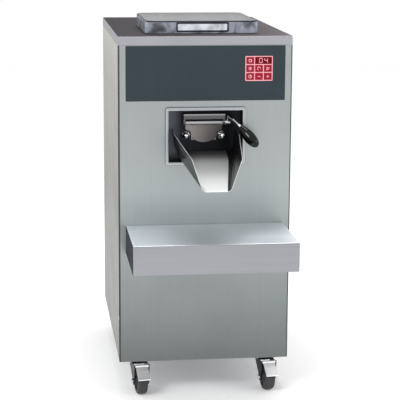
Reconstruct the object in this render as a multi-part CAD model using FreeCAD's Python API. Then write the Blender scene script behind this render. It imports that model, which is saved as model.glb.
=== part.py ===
"""Floor-standing vertical batch freezer for gelato, on four casters.

Units are millimetres. +Z is up and the front faces -Y. The origin is the middle of the whole
footprint, on the floor. Each function below makes one piece and returns its shape, and main()
writes every piece to its own file.
"""
import FreeCAD, Part
import math
import os

V = FreeCAD.Vector

# ---- overall sizes -------------------------------------------------------------------------
WIDTH = 500.0             # cabinet, side to side
DEPTH = 740.0             # cabinet, front panel face to rear panel face
CABINET_HEIGHT = 955.0    # underside of the base tray to the top cover
CASTER_HEIGHT = 105.0     # floor to the underside of the base tray
SHELF_DEPTH = 265.0       # how far the box shelf stands out in front
REAR_REACH = 25.0         # how far the water stubs stand out behind

# ---- sheet metal ---------------------------------------------------------------------------
SHEET = 1.5               # casing panels
PLATE = 3.0               # base tray and frame angles
SEAM = 1.0                # open joint between neighbouring panels
SKIRT = 25.0              # turned-down edge of the top cover
RETURN = 14.0             # side folds of the front panel
TRAY_EDGE = 30.0          # upturned edge of the base tray
ANGLE = 30.0              # leg of a corner post
RAIL_WIDTH = 20.0
RAIL_HEIGHT = 30.0

# ---- clearances ----------------------------------------------------------------------------
FIT = 0.3                 # beside a part that moves, or a piece let into a panel
RUN = 0.05                # radial running fit of a shaft or pin
SET = 0.02                # radial gap of a pressed or keyed piece
SCREW_FIT = 0.1           # round a screw shank

# ---- control panel -------------------------------------------------------------------------
FASCIA_WIDTH = 458.0
FASCIA_HEIGHT = 157.0
FASCIA_THICK = 1.2
KEYPAD_WIDTH = 79.0
KEYPAD_HEIGHT = 71.0
KEYPAD_CENTRE_X = 152.5
KEYPAD_DROP = 92.5        # keypad centre below the top of the cabinet
KEYPAD_THICK = 2.6
KEY_ROWS = 3
KEY_COLUMNS = 3
KEY_BORDER = 2.6          # bars of the keypad bezel
KEY_THICK = 2.0
KEY_TRAVEL = 0.8
ELECTRIC_DEPTH = 50.0
ELECTRIC_WIDTH = 300.0
ELECTRIC_HEIGHT = 130.0

# ---- hatch ---------------------------------------------------------------------------------
HATCH_WIDTH = 213.0
HATCH_HEIGHT = 148.0
HATCH_DROP = 212.0        # top of the hatch below the top of the cabinet
HATCH_DEPTH = 45.0        # front panel face to the back wall of the recess
LIP_WIDTH = 10.0
LIP_PROUD = 5.0
LIP_CORNER = 9.0
PORT_WIDTH = 68.0         # outlet of the spout
PORT_HEIGHT = 46.0
PORT_DROP = 278.0         # port centre below the top of the cabinet
SPOUT_WALL = 2.0
SPOUT_PROUD = 1.6         # spout end in front of the back wall of the recess

# ---- gate and lever ------------------------------------------------------------------------
AXIS_REACH = 9.0          # gate axis in front of the back wall of the recess
AXIS_DROP = 251.5         # gate axis below the top of the cabinet
SPINDLE_RADIUS = 5.0
SLEEVE_RADIUS = 7.0
GATE_TOP_HALF = 54.0
GATE_LOW_HALF = 38.0
GATE_SHOULDER = 20.0      # gate axis down to where the plate narrows
GATE_LENGTH = 59.0        # gate axis down to the lowest point of the plate
GATE_THICK = 3.5
GATE_ROUND = 18.0         # rise of the rounded bottom edge
EAR_THICK = 6.0
EAR_HALF = 9.0
HOUSING_HEIGHT = 17.0
HOUSING_REACH = 22.0
NUT_X = 53.0
NUT_DROP = 289.5
NUT_RADIUS = 12.5
NUT_LENGTH = 26.0
STUD_RADIUS = 4.0
HUB_RADIUS = 8.5
HUB_LENGTH = 15.0
LEVER_RADIUS = 4.5
LEVER_RISE = 24.0         # bend of the lever above the gate axis, which sets how far it lifts
LEVER_FORWARD = 16.0      # bend of the lever in front of the gate axis
GRIP_START = V(26.0, -25.0, -1.5)     # neck of the grip, across from the hub and out from the panel
GRIP_ALONG = V(47.0, -37.0, -55.0)    # direction in which the grip points
GRIP_LENGTH = 82.0
GRIP_NECK = 8.5
GRIP_BELLY = 17.0
GRIP_BELLY_AT = 0.6       # share of the length from the neck to the thickest place
GRIP_SWELL = 1.5          # how far the flank bulges past a straight taper at its middle
GRIP_CAP_SHARE = 0.72     # share of belly and cap length where the cap curve passes
GRIP_TIP = 2.0            # radius of the small flat at the end of the grip
GRIP_BORE_DEPTH = 45.0

# ---- chute ---------------------------------------------------------------------------------
CHUTE_SHEET = 1.5
CHUTE_BEND = 15.0
CHUTE_END = 255.0         # front edge of the chute in front of the panel face
CHUTE_KNEE = 35.0         # where the sides start to close in, in front of the panel face
# half width of the floor, drop of the floor, half width at the rim, drop of the rim
CHUTE_BACK = (82.0, 336.0, 91.0, 270.0)
CHUTE_MIDDLE = (77.0, 351.0, 92.0, 276.0)
CHUTE_FRONT = (38.0, 399.0, 68.0, 310.0)

# ---- shelf ---------------------------------------------------------------------------------
SHELF_WIDTH = 460.0
SHELF_HEIGHT = 82.0
SHELF_DROP = 544.0        # shelf top below the top of the cabinet
SHELF_FLANGE = 40.0
SHELF_BEND = 3.0

# ---- lid -----------------------------------------------------------------------------------
LID_WIDTH = 330.0
LID_DEPTH = 349.0
LID_HEIGHT = 35.0
LID_SETBACK = 82.0        # front of the lid behind the front panel face
LID_WALL = 4.0
LID_CORNER = 30.0
GASKET = 1.7              # height of the lid gasket
FRAME_WIDTH = 152.0       # raised frame on the lid front
FRAME_HEIGHT = 27.0
FRAME_BAR = 4.0
FRAME_PROUD = 2.5
HINGE_X = 110.0
HINGE_SETBACK = 7.0       # hinge axis behind the lid
HINGE_RISE = 7.0          # hinge axis above the top cover
KNUCKLE_RADIUS = 5.5
KNUCKLE_LENGTH = 30.0
HINGE_EAR = 6.0
HINGE_FOOT = 16.5         # depth of the bracket foot on the top cover
PIN_RADIUS = 2.5

# ---- freezing cylinder and dasher ----------------------------------------------------------
BORE_RADIUS = 150.0
CYLINDER_WALL = 3.0
CYLINDER_DEPTH = 318.0    # mouth to the inner floor
FLOOR_THICK = 8.0
RIM_WIDTH = 9.0
RIM_THICK = 3.0
COIL_RADIUS = 5.0
COIL_TURNS = 9
COIL_PITCH = 22.0
COIL_START = 98.0         # inner floor up to the lowest turn
HEADER_RADIUS = 4.0       # upright tube that joins the turns
STUB_RADIUS = 4.6
STUB_X = 100.0            # where the refrigerant stubs leave the coil
STUB_REACH = 15.0         # stub end behind the insulation
INSULATION = 26.0
SHAFT_RADIUS = 15.0
SHAFT_TOP = 60.0          # end of the shaft above the inner floor
SHAFT_PROUD = 14.0        # end of the shaft below the driven pulley
SEAL_RADIUS = 24.0
BEARING_RADIUS = 31.0
BEARING_HEIGHT = 16.0
HOUSING_RADIUS = 42.0
HOUSING_LENGTH = 72.0     # cylinder floor down to the side rails that carry the casting
HOUSING_FLANGE = 75.0
CASTING_PLATE = 10.0
BEAM_HALF = 60.0
DASHER_GAP = 4.0          # dasher arms above the inner floor
DASHER_HEIGHT = 270.0
DASHER_HUB = 22.0
DASHER_BARS = 3
DASHER_PHASE = 90.0       # degrees from +X to the first bar
BAR_GAP = 12.0            # dasher bars inside the cylinder wall
BAR_WIDTH = 16.0
BAR_THICK = 10.0
ARM_HEIGHT = 12.0
BLADE_THICK = 4.0
BLADE_LAP = 12.0          # how far a blade lies along its bar
BLADE_GAP = 0.9           # blade tip to the cylinder wall

# ---- drive ---------------------------------------------------------------------------------
MOTOR_BACK = 160.0        # motor axis in front of the rear panel face
MOTOR_RADIUS = 66.0
MOTOR_HEIGHT = 220.0
MOTOR_FLANGE = 76.0
MOTOR_FINS = 12
FIN_REACH = 6.0           # fins beyond the motor body
FIN_THICK = 3.0
FIN_INSET = 20.0          # fins short of both ends of the motor
TERMINAL_BOX = 70.0       # width and height of the terminal box
TERMINAL_RISE = 95.0      # middle of the terminal box above the casting
TERMINAL_PROUD = 14.0     # terminal box beyond the fins
MOTOR_SHAFT = 9.0
DRIVEN_RADIUS = 100.0
DRIVER_RADIUS = 40.0
BELT_WIDTH = 18.0
BELT_THICK = 5.0
PULLEY_FLANGE = 4.0
PULLEY_GAP = 3.0          # pulley top below the casting

# ---- refrigeration -------------------------------------------------------------------------
COMPRESSOR_X = -120.0
PACK_BACK = 240.0         # compressor and condenser axes in front of the rear panel face
COMPRESSOR_RADIUS = 75.0
COMPRESSOR_HEIGHT = 190.0
COMPRESSOR_ROUND = 30.0   # radius of the can's rims
COMPRESSOR_FOOT = 12.0    # radius of a rubber foot
COMPRESSOR_FEET = 56.25   # feet round the can's axis
STUB_LEFT = 20.0          # suction stub beside the can's axis
STUB_RIGHT = 30.0         # discharge stub beside the can's axis
STUB_PROUD = 15.0         # stubs above the can
STUB_SUNK = 20.0          # stubs inside the can
CONDENSER_X = 120.0
CONDENSER_RADIUS = 68.0
CONDENSER_TUBE = 11.0
CONDENSER_TURNS = 5
TAIL_RADIUS = 8.8         # tails from the condenser to the water fittings
CONDENSER_PITCH = 26.0
FOOT_HEIGHT = 12.0
PIPE_RADIUS = 5.0
PIPE_BEND = 14.0
PIPE_LANE = 25.0          # upright pipes behind the insulation
PIPE_CLIMB = 50.0         # level runs above the compressor stubs
PIPE_FALL = 40.0          # fall of the level runs from the back lane
PIPE_BELOW = 15.0         # discharge line below the other two
DRIER_RISE = 80.0         # filter drier above the level runs
DRIER_RADIUS = 18.0
DRIER_LENGTH = 110.0

# ---- rear connections ----------------------------------------------------------------------
WATER_X = (100.0, 160.0)
WATER_RISE = 90.0         # above the underside of the base tray
WATER_RADIUS = 13.2
WATER_BORE = 9.0
WATER_INSIDE = 60.0
WATER_END = 8.0           # closed inner end, where the condenser tail is brazed on
WATER_NUT = 18.0
WATER_NUT_THICK = 8.0
GLAND_X = -150.0
GLAND_RISE = 95.0
GLAND_RADIUS = 12.0
GLAND_BORE = 5.0
GLAND_NUT = 16.0
GLAND_REACH = 20.0
VENT_COLUMNS = 3
VENT_ROWS = 9
VENT_WIDTH = 90.0
VENT_HEIGHT = 6.0
VENT_PITCH = 22.0
VENT_COLUMN_PITCH = 125.0
VENT_RISE = 380.0

# ---- screws --------------------------------------------------------------------------------
SCREW_HEAD = 4.5
SCREW_HEAD_HEIGHT = 1.8
SCREW_SHANK = 2.0
SCREW_INSET = 15.0
SCREW_DROPS = (43.0, 185.0, 827.0)    # below the top of the cabinet

# ---- casters -------------------------------------------------------------------------------
WHEEL_RADIUS = 40.0
WHEEL_WIDTH = 30.0
WHEEL_ROUND = 6.0
WHEEL_DISH = 5.0
WHEEL_DISH_RADIUS = 28.0
WHEEL_HUB = 11.0
TRAIL = 34.0              # wheel axle beside the kingpin
CASTER_TURN = 7.0         # degrees that each wheel is turned from straight ahead
CASTER_X = 190.0
CASTER_FRONT = 56.0       # kingpin behind the front panel face
CASTER_REAR = 60.0        # kingpin in front of the rear panel face
FORK_PLATE = 2.5
FORK_HALF = 23.0          # half of the outer width
FORK_NOSE = 13.0
YOKE_HALF = 24.0
YOKE_RISE = 88.0          # underside of the yoke above the floor
RACE_RADIUS = 27.0
RACE_HEIGHT = 6.0
KINGPIN_RADIUS = 6.0
KINGPIN_HEAD = 10.0
PLATE_HALF = 34.0
PLATE_THICK = 6.0
AXLE_RADIUS = 4.0
AXLE_NUT = 7.0
AXLE_NUT_THICK = 6.0
PEDAL_PIVOT = (48.5, 88.0)            # along the trail and above the floor
PEDAL_SLOPE = 36.0        # degrees below level
PEDAL_LENGTH = 50.0
PEDAL_WIDTH = 36.0
PEDAL_THICK = 2.5
PEDAL_EYE = 4.5
PEDAL_PIN = 2.0

# ---- worked out ----------------------------------------------------------------------------
FRONT = SHELF_DEPTH - (SHELF_DEPTH + DEPTH + REAR_REACH) / 2
BACK = FRONT + DEPTH
BOTTOM = CASTER_HEIGHT
TOP = BOTTOM + CABINET_HEIGHT
SIDE = WIDTH / 2
PANEL_TOP = TOP - SKIRT - SEAM
LID_FRONT = FRONT + LID_SETBACK
CYLINDER_Y = LID_FRONT + LID_DEPTH / 2
CYLINDER_OUTER = BORE_RADIUS + CYLINDER_WALL
INNER_FLOOR = TOP - CYLINDER_DEPTH
COIL_CENTRE = CYLINDER_OUTER + COIL_RADIUS + FIT
COIL_LOW = INNER_FLOOR + COIL_START
COIL_HIGH = COIL_LOW + (COIL_TURNS - 1) * COIL_PITCH
BAR_OUTER = BORE_RADIUS - BAR_GAP
FOAM_INNER = COIL_CENTRE + COIL_RADIUS + FIT
FOAM_OUTER = FOAM_INNER + INSULATION
MOTOR_Y = BACK - MOTOR_BACK
MOTOR_AXIS = V(0, MOTOR_Y, 0)
PACK_Y = BACK - PACK_BACK
CASTING_BOTTOM = INNER_FLOOR - FLOOR_THICK - HOUSING_LENGTH
CASTING_TOP = CASTING_BOTTOM + CASTING_PLATE
PULLEY_TOP = CASTING_BOTTOM - PULLEY_GAP
PULLEY_HEIGHT = BELT_WIDTH + 2 * FIT + 2 * PULLEY_FLANGE
PULLEY_BOTTOM = PULLEY_TOP - PULLEY_HEIGHT
RECESS_BACK = FRONT + HATCH_DEPTH
AXIS = V(0, RECESS_BACK - AXIS_REACH, TOP - AXIS_DROP)
LID_BOTTOM = TOP + GASKET + FIT
LID_TOP = LID_BOTTOM + LID_HEIGHT
HINGE = V(0, LID_FRONT + LID_DEPTH + HINGE_SETBACK, TOP + HINGE_RISE)
HUB_CENTRE = V(GATE_TOP_HALF + 2 * FIT + EAR_THICK + FIT + HUB_LENGTH / 2, AXIS.y, AXIS.z)
TRAY_FLOOR = BOTTOM + PLATE
SCREW_DEPTHS = (FRONT + RETURN + SEAM + SCREW_INSET / 2, BACK - SCREW_INSET)


# ---- shape helpers -------------------------------------------------------------------------
def block(x, y, z):
    """A box between the two values of each pair."""
    return Part.makeBox(x[1] - x[0], y[1] - y[0], z[1] - z[0], V(x[0], y[0], z[0]))


def rod(start, end, radius):
    """A round bar from one point to another."""
    along = end.sub(start)
    return Part.makeCylinder(radius, along.Length, start, along)


def rounded_block(half_x, y, z, radius, centre_x=0.0):
    """A box whose upright edges are rounded."""
    shape = block((centre_x - half_x, centre_x + half_x), y, z)
    return shape.makeFillet(radius, upright_edges(shape))


def hexagon(centre, direction, across, thick):
    """A hexagon nut blank that starts at centre and grows along direction."""
    corners = [V(across * math.cos(math.radians(60 * i)), across * math.sin(math.radians(60 * i)), 0)
               for i in range(7)]
    shape = Part.Face(Part.makePolygon(corners)).extrude(V(0, 0, thick))
    shape.Placement = FreeCAD.Placement(centre, FreeCAD.Rotation(V(0, 0, 1), direction))
    return shape


def plate(outline, lift, thick):
    """A flat plate from (y, z) points in the YZ plane, thick along +X from lift."""
    points = [V(lift, y, z) for y, z in outline]
    return Part.Face(Part.makePolygon(points + points[:1])).extrude(V(thick, 0, 0))


def bent_tube(points, radius, bend):
    """A round bar along straight runs joined by tangent arcs of one bend radius."""
    edges = []
    start = points[0]
    for before, corner, after in zip(points, points[1:], points[2:]):
        inward = corner.sub(before).normalize()
        outward = after.sub(corner).normalize()
        half = inward.getAngle(outward) / 2
        setback = bend * math.tan(half)
        arc_start = corner.sub(V(inward).multiply(setback))
        arc_end = corner.add(V(outward).multiply(setback))
        lean = V(outward).sub(inward).normalize()
        middle = corner.add(lean.multiply(bend / math.cos(half) - bend))
        edges.append(Part.LineSegment(start, arc_start).toShape())
        edges.append(Part.Arc(arc_start, middle, arc_end).toShape())
        start = arc_end
    edges.append(Part.LineSegment(start, points[-1]).toShape())
    ring = Part.Wire(Part.makeCircle(radius, points[0], points[1].sub(points[0])))
    return Part.Wire(edges).makePipeShell([ring], True, False)


def post(place, radius, low, high):
    """An upright round bar over a point of the floor."""
    return Part.makeCylinder(radius, high - low, V(place.x, place.y, low))


def chamber(radius, low, high):
    """An upright round bar on the axis of the freezing cylinder."""
    return post(V(0, CYLINDER_Y, 0), radius, low, high)


def upright_edges(shape):
    """Edges of a shape that run along Z."""
    return [e for e in shape.Edges if abs(e.tangentAt(e.FirstParameter).z) > 0.99]


def one(shape):
    """The same shape with its seams cleaned, as a single solid where it is one."""
    cleaned = shape.removeSplitter()
    return cleaned.Solids[0] if len(cleaned.Solids) == 1 else cleaned


def group(shapes):
    """Separate solids that share one node."""
    return Part.makeCompound([solid for shape in shapes for solid in shape.Solids])


# ---- casing --------------------------------------------------------------------------------
def side_screw_places():
    """Centre of every side panel screw on the outer face, with its inward direction."""
    return [(V(side * SIDE, depth, TOP - drop), V(-side, 0, 0))
            for side in (-1, 1) for depth in SCREW_DEPTHS for drop in SCREW_DROPS]


def rear_screw_places():
    """Centre of every rear panel screw on the outer face, with its inward direction."""
    return [(V(side * (SIDE - SCREW_INSET), BACK, TOP - drop), V(0, -1, 0))
            for side in (-1, 1) for drop in SCREW_DROPS]


def screw_cutters(places):
    """Clearance holes for the shanks of a set of screws."""
    reach = SHEET + PLATE + SCREW_HEAD
    return Part.makeCompound([rod(place, place.add(V(inward).multiply(reach)), SCREW_SHANK + SCREW_FIT)
                              for place, inward in places])


def panel_screws():
    """Pan-head screws of the side panels and the rear panel."""
    screws = []
    for place, inward in side_screw_places() + rear_screw_places():
        head = rod(place, place.sub(V(inward).multiply(SCREW_HEAD_HEIGHT)), SCREW_HEAD)
        crown = [e for e in head.Edges if abs(e.CenterOfMass.sub(place).Length - SCREW_HEAD_HEIGHT) < 0.1]
        head = head.makeFillet(SCREW_HEAD_HEIGHT * 0.6, crown[:1])
        shank = rod(place, place.add(V(inward).multiply(SHEET + PLATE)), SCREW_SHANK)
        screws.append(head.fuse(shank))
    return group(screws)


def base_tray():
    """Folded tray that carries the casters, the compressor and the corner posts."""
    low, high = FRONT + SHEET, BACK - SHEET
    edge = SIDE - SHEET
    tray = block((-edge, edge), (low, high), (BOTTOM, BOTTOM + TRAY_EDGE))
    inner = block((-edge + PLATE, edge - PLATE), (low + PLATE, high - PLATE), (TRAY_FLOOR, TOP))
    return one(tray.cut(inner))


def inner_frame():
    """Four corner posts and two side rails, welded together."""
    outer_x, front, back = SIDE - SHEET, FRONT + SHEET, BACK - SHEET
    low, high = BOTTOM + TRAY_EDGE, TOP - SHEET
    rail_z = (CASTING_BOTTOM - RAIL_HEIGHT, CASTING_BOTTOM)
    parts = []
    for side in (-1, 1):
        wall = sorted((side * outer_x, side * (outer_x - PLATE)))
        leg = sorted((side * outer_x, side * (outer_x - ANGLE)))
        for face, turn in ((front, 1), (back, -1)):
            parts.append(block(wall, sorted((face, face + turn * ANGLE)), (low, high)))
            parts.append(block(leg, sorted((face, face + turn * PLATE)), (low, high)))
        rail = sorted((side * (outer_x - PLATE), side * (outer_x - PLATE - RAIL_WIDTH)))
        parts.append(block(rail, (front + PLATE, back - PLATE), rail_z))
        tie = sorted((side * (outer_x - PLATE), side * outer_x))
        parts.append(block(tie, (front, back), rail_z))
    for face, turn in ((front, 1), (back, -1)):
        run = sorted((face, face + turn * PLATE))
        parts.append(block((-outer_x, outer_x), run, (high - ANGLE, high)))
    frame = parts[0].multiFuse(parts[1:])
    return one(frame.cut(screw_cutters(side_screw_places() + rear_screw_places())))


def front_panel():
    """Front sheet with its two side folds and the hatch cutout."""
    sheet = block((-SIDE, SIDE), (FRONT, FRONT + RETURN), (BOTTOM, PANEL_TOP))
    inner = block((-SIDE + SHEET, SIDE - SHEET), (FRONT + SHEET, FRONT + RETURN), (BOTTOM, PANEL_TOP))
    half = HATCH_WIDTH / 2 + SHEET + FIT
    low = TOP - HATCH_DROP - HATCH_HEIGHT - SHEET - FIT
    high = TOP - HATCH_DROP + SHEET + FIT
    hatch = block((-half, half), (FRONT - SHEET, FRONT + RETURN), (low, high))
    return one(sheet.cut(inner).cut(hatch))


def side_panel(side):
    """Plain side sheet, screwed to the corner posts."""
    x = sorted((side * (SIDE - SHEET), side * SIDE))
    sheet = block(x, (FRONT + RETURN + SEAM, BACK), (BOTTOM, PANEL_TOP))
    return one(sheet.cut(screw_cutters(side_screw_places())))


def rear_panel():
    """Rear sheet with ventilation slots and holes for the connections."""
    edge = SIDE - SHEET - SEAM / 2
    sheet = block((-edge, edge), (BACK - SHEET, BACK), (BOTTOM, PANEL_TOP))
    slots = []
    for column in range(VENT_COLUMNS):
        x = (column - (VENT_COLUMNS - 1) / 2) * VENT_COLUMN_PITCH
        for row in range(VENT_ROWS):
            z = BOTTOM + VENT_RISE + row * VENT_PITCH
            slots.append(block((x - VENT_WIDTH / 2, x + VENT_WIDTH / 2), (BACK - 2 * SHEET, BACK + SHEET),
                               (z, z + VENT_HEIGHT)))
    holes = [rod(V(x, BACK - 2 * SHEET, BOTTOM + WATER_RISE), V(x, BACK + SHEET, BOTTOM + WATER_RISE),
                 WATER_RADIUS + SET) for x in WATER_X]
    holes.append(rod(V(GLAND_X, BACK - 2 * SHEET, BOTTOM + GLAND_RISE),
                     V(GLAND_X, BACK + SHEET, BOTTOM + GLAND_RISE), GLAND_RADIUS + SET))
    cutters = Part.makeCompound(slots + holes)
    return one(sheet.cut(cutters).cut(screw_cutters(rear_screw_places())))


def top_cover():
    """Folded cover with the mouth of the freezing cylinder cut in it."""
    cover = block((-SIDE, SIDE), (FRONT, BACK), (TOP - SKIRT, TOP))
    inner = block((-SIDE + SHEET, SIDE - SHEET), (FRONT + SHEET, BACK - SHEET), (TOP - SKIRT, TOP - SHEET))
    mouth = chamber(CYLINDER_OUTER + FIT, TOP - SKIRT, TOP + SHEET)
    return one(cover.cut(inner).cut(mouth))


# ---- control panel -------------------------------------------------------------------------
def keypad_box(y):
    """Block of the keypad outline between two depths."""
    half_x, half_z = KEYPAD_WIDTH / 2, KEYPAD_HEIGHT / 2
    centre_z = TOP - KEYPAD_DROP
    return block((KEYPAD_CENTRE_X - half_x, KEYPAD_CENTRE_X + half_x), y,
                 (centre_z - half_z, centre_z + half_z))


def control_fascia():
    """Thin dark panel stuck on the front, with a window for the keypad."""
    half = FASCIA_WIDTH / 2
    high = PANEL_TOP - SEAM
    sheet = block((-half, half), (FRONT - FASCIA_THICK, FRONT), (high - FASCIA_HEIGHT, high))
    window = keypad_box((FRONT - 2 * FASCIA_THICK, FRONT + FASCIA_THICK))
    return one(sheet.cut(window))


def key_cell(row, column, span=1):
    """Middle and half sizes (x, z) of one window of the keypad, row 0 on top."""
    pitch_x = (KEYPAD_WIDTH - KEY_BORDER) / KEY_COLUMNS
    pitch_z = (KEYPAD_HEIGHT - KEY_BORDER) / KEY_ROWS
    left = KEYPAD_CENTRE_X - KEYPAD_WIDTH / 2 + KEY_BORDER
    top = TOP - KEYPAD_DROP + KEYPAD_HEIGHT / 2 - KEY_BORDER
    x = left + column * pitch_x
    z = top - row * pitch_z
    width = span * pitch_x - KEY_BORDER
    height = pitch_z - KEY_BORDER
    return x + width / 2, z - height / 2, width / 2, height / 2


KEY_PLACES = [(0, 0)] + [(row, column) for row in (1, 2) for column in range(KEY_COLUMNS)]
DISPLAY_PLACE = (0, 1, 2)


def keypad_bezel():
    """Grid that frames the seven keys and the display."""
    frame = keypad_box((FRONT - KEYPAD_THICK, FRONT))
    upright = [e for e in frame.Edges if abs(e.tangentAt(e.FirstParameter).y) > 0.99]
    frame = frame.makeFillet(KEY_BORDER, upright)
    windows = []
    for place in KEY_PLACES + [DISPLAY_PLACE]:
        x, z, half_x, half_z = key_cell(*place)
        windows.append(block((x - half_x, x + half_x), (FRONT - 2 * KEYPAD_THICK, FRONT + SHEET),
                             (z - half_z, z + half_z)))
    return one(frame.cut(Part.makeCompound(windows)))


def keypad_key(place):
    """One key cap, which stands proud of the bezel by its travel."""
    x, z, half_x, half_z = key_cell(*place)
    front = FRONT - KEYPAD_THICK - KEY_TRAVEL
    cap = block((x - half_x + FIT, x + half_x - FIT), (front, front + KEY_THICK),
                (z - half_z + FIT, z + half_z - FIT))
    upright = [e for e in cap.Edges if abs(e.tangentAt(e.FirstParameter).y) > 0.99]
    return cap.makeFillet(KEY_BORDER / 2, upright)


def display_window():
    """Tinted pane over the two digits."""
    x, z, half_x, half_z = key_cell(*DISPLAY_PLACE)
    return block((x - half_x, x + half_x), (FRONT - KEYPAD_THICK + FIT, FRONT), (z - half_z, z + half_z))


def electrical_box():
    """Closed box with the control board, behind the fascia."""
    half = ELECTRIC_WIDTH / 2
    low = PANEL_TOP - ELECTRIC_HEIGHT - ANGLE
    high = PANEL_TOP - ANGLE
    outer = block((-half, half), (FRONT + SHEET, FRONT + SHEET + ELECTRIC_DEPTH), (low, high))
    inner = block((-half + SHEET, half - SHEET), (FRONT + 2 * SHEET, FRONT + ELECTRIC_DEPTH),
                  (low + SHEET, high - SHEET))
    return one(outer.cut(inner))


# ---- hatch, gate and lever -----------------------------------------------------------------
def hatch_surround():
    """Folded recess behind the hatch opening, with its raised lip."""
    half = HATCH_WIDTH / 2
    low, high = TOP - HATCH_DROP - HATCH_HEIGHT, TOP - HATCH_DROP
    lip = block((-half - LIP_WIDTH, half + LIP_WIDTH), (FRONT - LIP_PROUD, FRONT),
                (low - LIP_WIDTH, high + LIP_WIDTH))
    corners = [e for e in lip.Edges if abs(e.tangentAt(e.FirstParameter).y) > 0.99]
    lip = lip.makeFillet(LIP_CORNER, corners)
    front_edges = [e for e in lip.Edges if abs(e.CenterOfMass.y - FRONT + LIP_PROUD) < 0.01]
    lip = lip.makeFillet(LIP_PROUD / 2, front_edges)
    walls = block((-half - SHEET, half + SHEET), (FRONT, RECESS_BACK + SHEET), (low - SHEET, high + SHEET))
    hollow = block((-half, half), (FRONT - LIP_PROUD, RECESS_BACK), (low, high))
    recess = lip.fuse(walls).cut(hollow)
    recess = recess.cut(spout_box(SPOUT_WALL + FIT, RECESS_BACK - SHEET, RECESS_BACK + 2 * SHEET))
    return one(recess.cut(stud_cutters()))


def stud_cutters():
    """Holes for the two chute studs."""
    return Part.makeCompound([rod(V(side * NUT_X, FRONT, TOP - NUT_DROP),
                                  V(side * NUT_X, RECESS_BACK + 2 * SHEET, TOP - NUT_DROP), STUD_RADIUS + SET)
                              for side in (-1, 1)])


def spout_box(grow, low, high):
    """Block of the port outline, grown by a wall, between two depths."""
    half_x, half_z = PORT_WIDTH / 2 + grow, PORT_HEIGHT / 2 + grow
    centre_z = TOP - PORT_DROP
    return block((-half_x, half_x), (low, high), (centre_z - half_z, centre_z + half_z))


def gate_housing():
    """Bar over the gate with an ear at each end that carries the spindle."""
    ear_in = GATE_TOP_HALF + 2 * FIT
    ear_out = ear_in + EAR_THICK
    bar_low = AXIS.z + EAR_HALF + 2 * FIT
    bar = block((-ear_out, ear_out), (RECESS_BACK - HOUSING_REACH, RECESS_BACK),
                (bar_low, bar_low + HOUSING_HEIGHT))
    parts = [bar]
    for x in (-ear_out, ear_in):
        parts.append(block((x, x + EAR_THICK), (AXIS.y, RECESS_BACK), (AXIS.z - EAR_HALF, bar_low)))
        parts.append(rod(V(x, AXIS.y, AXIS.z), V(x + EAR_THICK, AXIS.y, AXIS.z), EAR_HALF))
        parts.append(block((x, x + EAR_THICK), (AXIS.y - EAR_HALF, RECESS_BACK), (AXIS.z, bar_low)))
    housing = parts[0].multiFuse(parts[1:])
    bore = rod(V(-2 * ear_out, AXIS.y, AXIS.z), V(2 * ear_out, AXIS.y, AXIS.z), SPINDLE_RADIUS + RUN)
    return one(housing.cut(bore))


def gate_spindle():
    """Round bar that the gate and the lever turn with."""
    left = GATE_TOP_HALF + 2 * FIT + EAR_THICK + FIT
    return rod(V(-left, AXIS.y, AXIS.z), spindle_end(), SPINDLE_RADIUS)


def spindle_end():
    """End of the spindle, just inside the face of the hub."""
    return HUB_CENTRE.add(V(HUB_LENGTH / 2 - FIT, 0, 0))


def discharge_gate():
    """Gate plate with a rounded bottom, hanging from its sleeve."""
    sleeve = rod(V(-GATE_TOP_HALF, AXIS.y, AXIS.z), V(GATE_TOP_HALF, AXIS.y, AXIS.z), SLEEVE_RADIUS)
    back = AXIS.y + SLEEVE_RADIUS
    shoulder = AXIS.z - GATE_SHOULDER
    low = AXIS.z - GATE_LENGTH
    step = GATE_TOP_HALF - GATE_LOW_HALF
    bow = low + GATE_ROUND
    right = [V(GATE_TOP_HALF, back, AXIS.z), V(GATE_TOP_HALF, back, shoulder),
             V(GATE_LOW_HALF, back, shoulder - step / 2), V(GATE_LOW_HALF, back, bow)]
    left = [V(-p.x, p.y, p.z) for p in reversed(right)]
    edges = [Part.LineSegment(a, b).toShape() for a, b in zip(right, right[1:])]
    edges.append(Part.Arc(right[-1], V(0, back, low), left[0]).toShape())
    edges += [Part.LineSegment(a, b).toShape() for a, b in zip(left, left[1:])]
    edges.append(Part.LineSegment(left[-1], right[0]).toShape())
    leaf = Part.Face(Part.Wire(edges)).extrude(V(0, -GATE_THICK, 0))
    bore = rod(V(-SIDE, AXIS.y, AXIS.z), V(SIDE, AXIS.y, AXIS.z), SPINDLE_RADIUS + SET)
    return one(sleeve.fuse(leaf).cut(bore))


def lever_points():
    """Bend, neck and inner end of the lever rod."""
    bend = HUB_CENTRE.add(V(0, -LEVER_FORWARD, LEVER_RISE))
    neck = V(HUB_CENTRE.x + GRIP_START.x, FRONT + GRIP_START.y, HUB_CENTRE.z + GRIP_START.z)
    along = V(GRIP_ALONG).normalize()
    return bend, neck, along


def lever_arm():
    """Hub on the spindle with the bent rod that holds the grip."""
    bend, neck, along = lever_points()
    half = V(HUB_LENGTH / 2, 0, 0)
    hub = rod(HUB_CENTRE.sub(half), HUB_CENTRE.add(half), HUB_RADIUS)
    end = neck.add(V(along).multiply(GRIP_BORE_DEPTH))
    parts = [rod(HUB_CENTRE, bend, LEVER_RADIUS), Part.makeSphere(LEVER_RADIUS, bend),
             rod(bend, neck, LEVER_RADIUS), Part.makeSphere(LEVER_RADIUS, neck), rod(neck, end, LEVER_RADIUS)]
    arm = hub.multiFuse(parts)
    return one(arm.cut(rod(AXIS, spindle_end(), SPINDLE_RADIUS + SET)))


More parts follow.
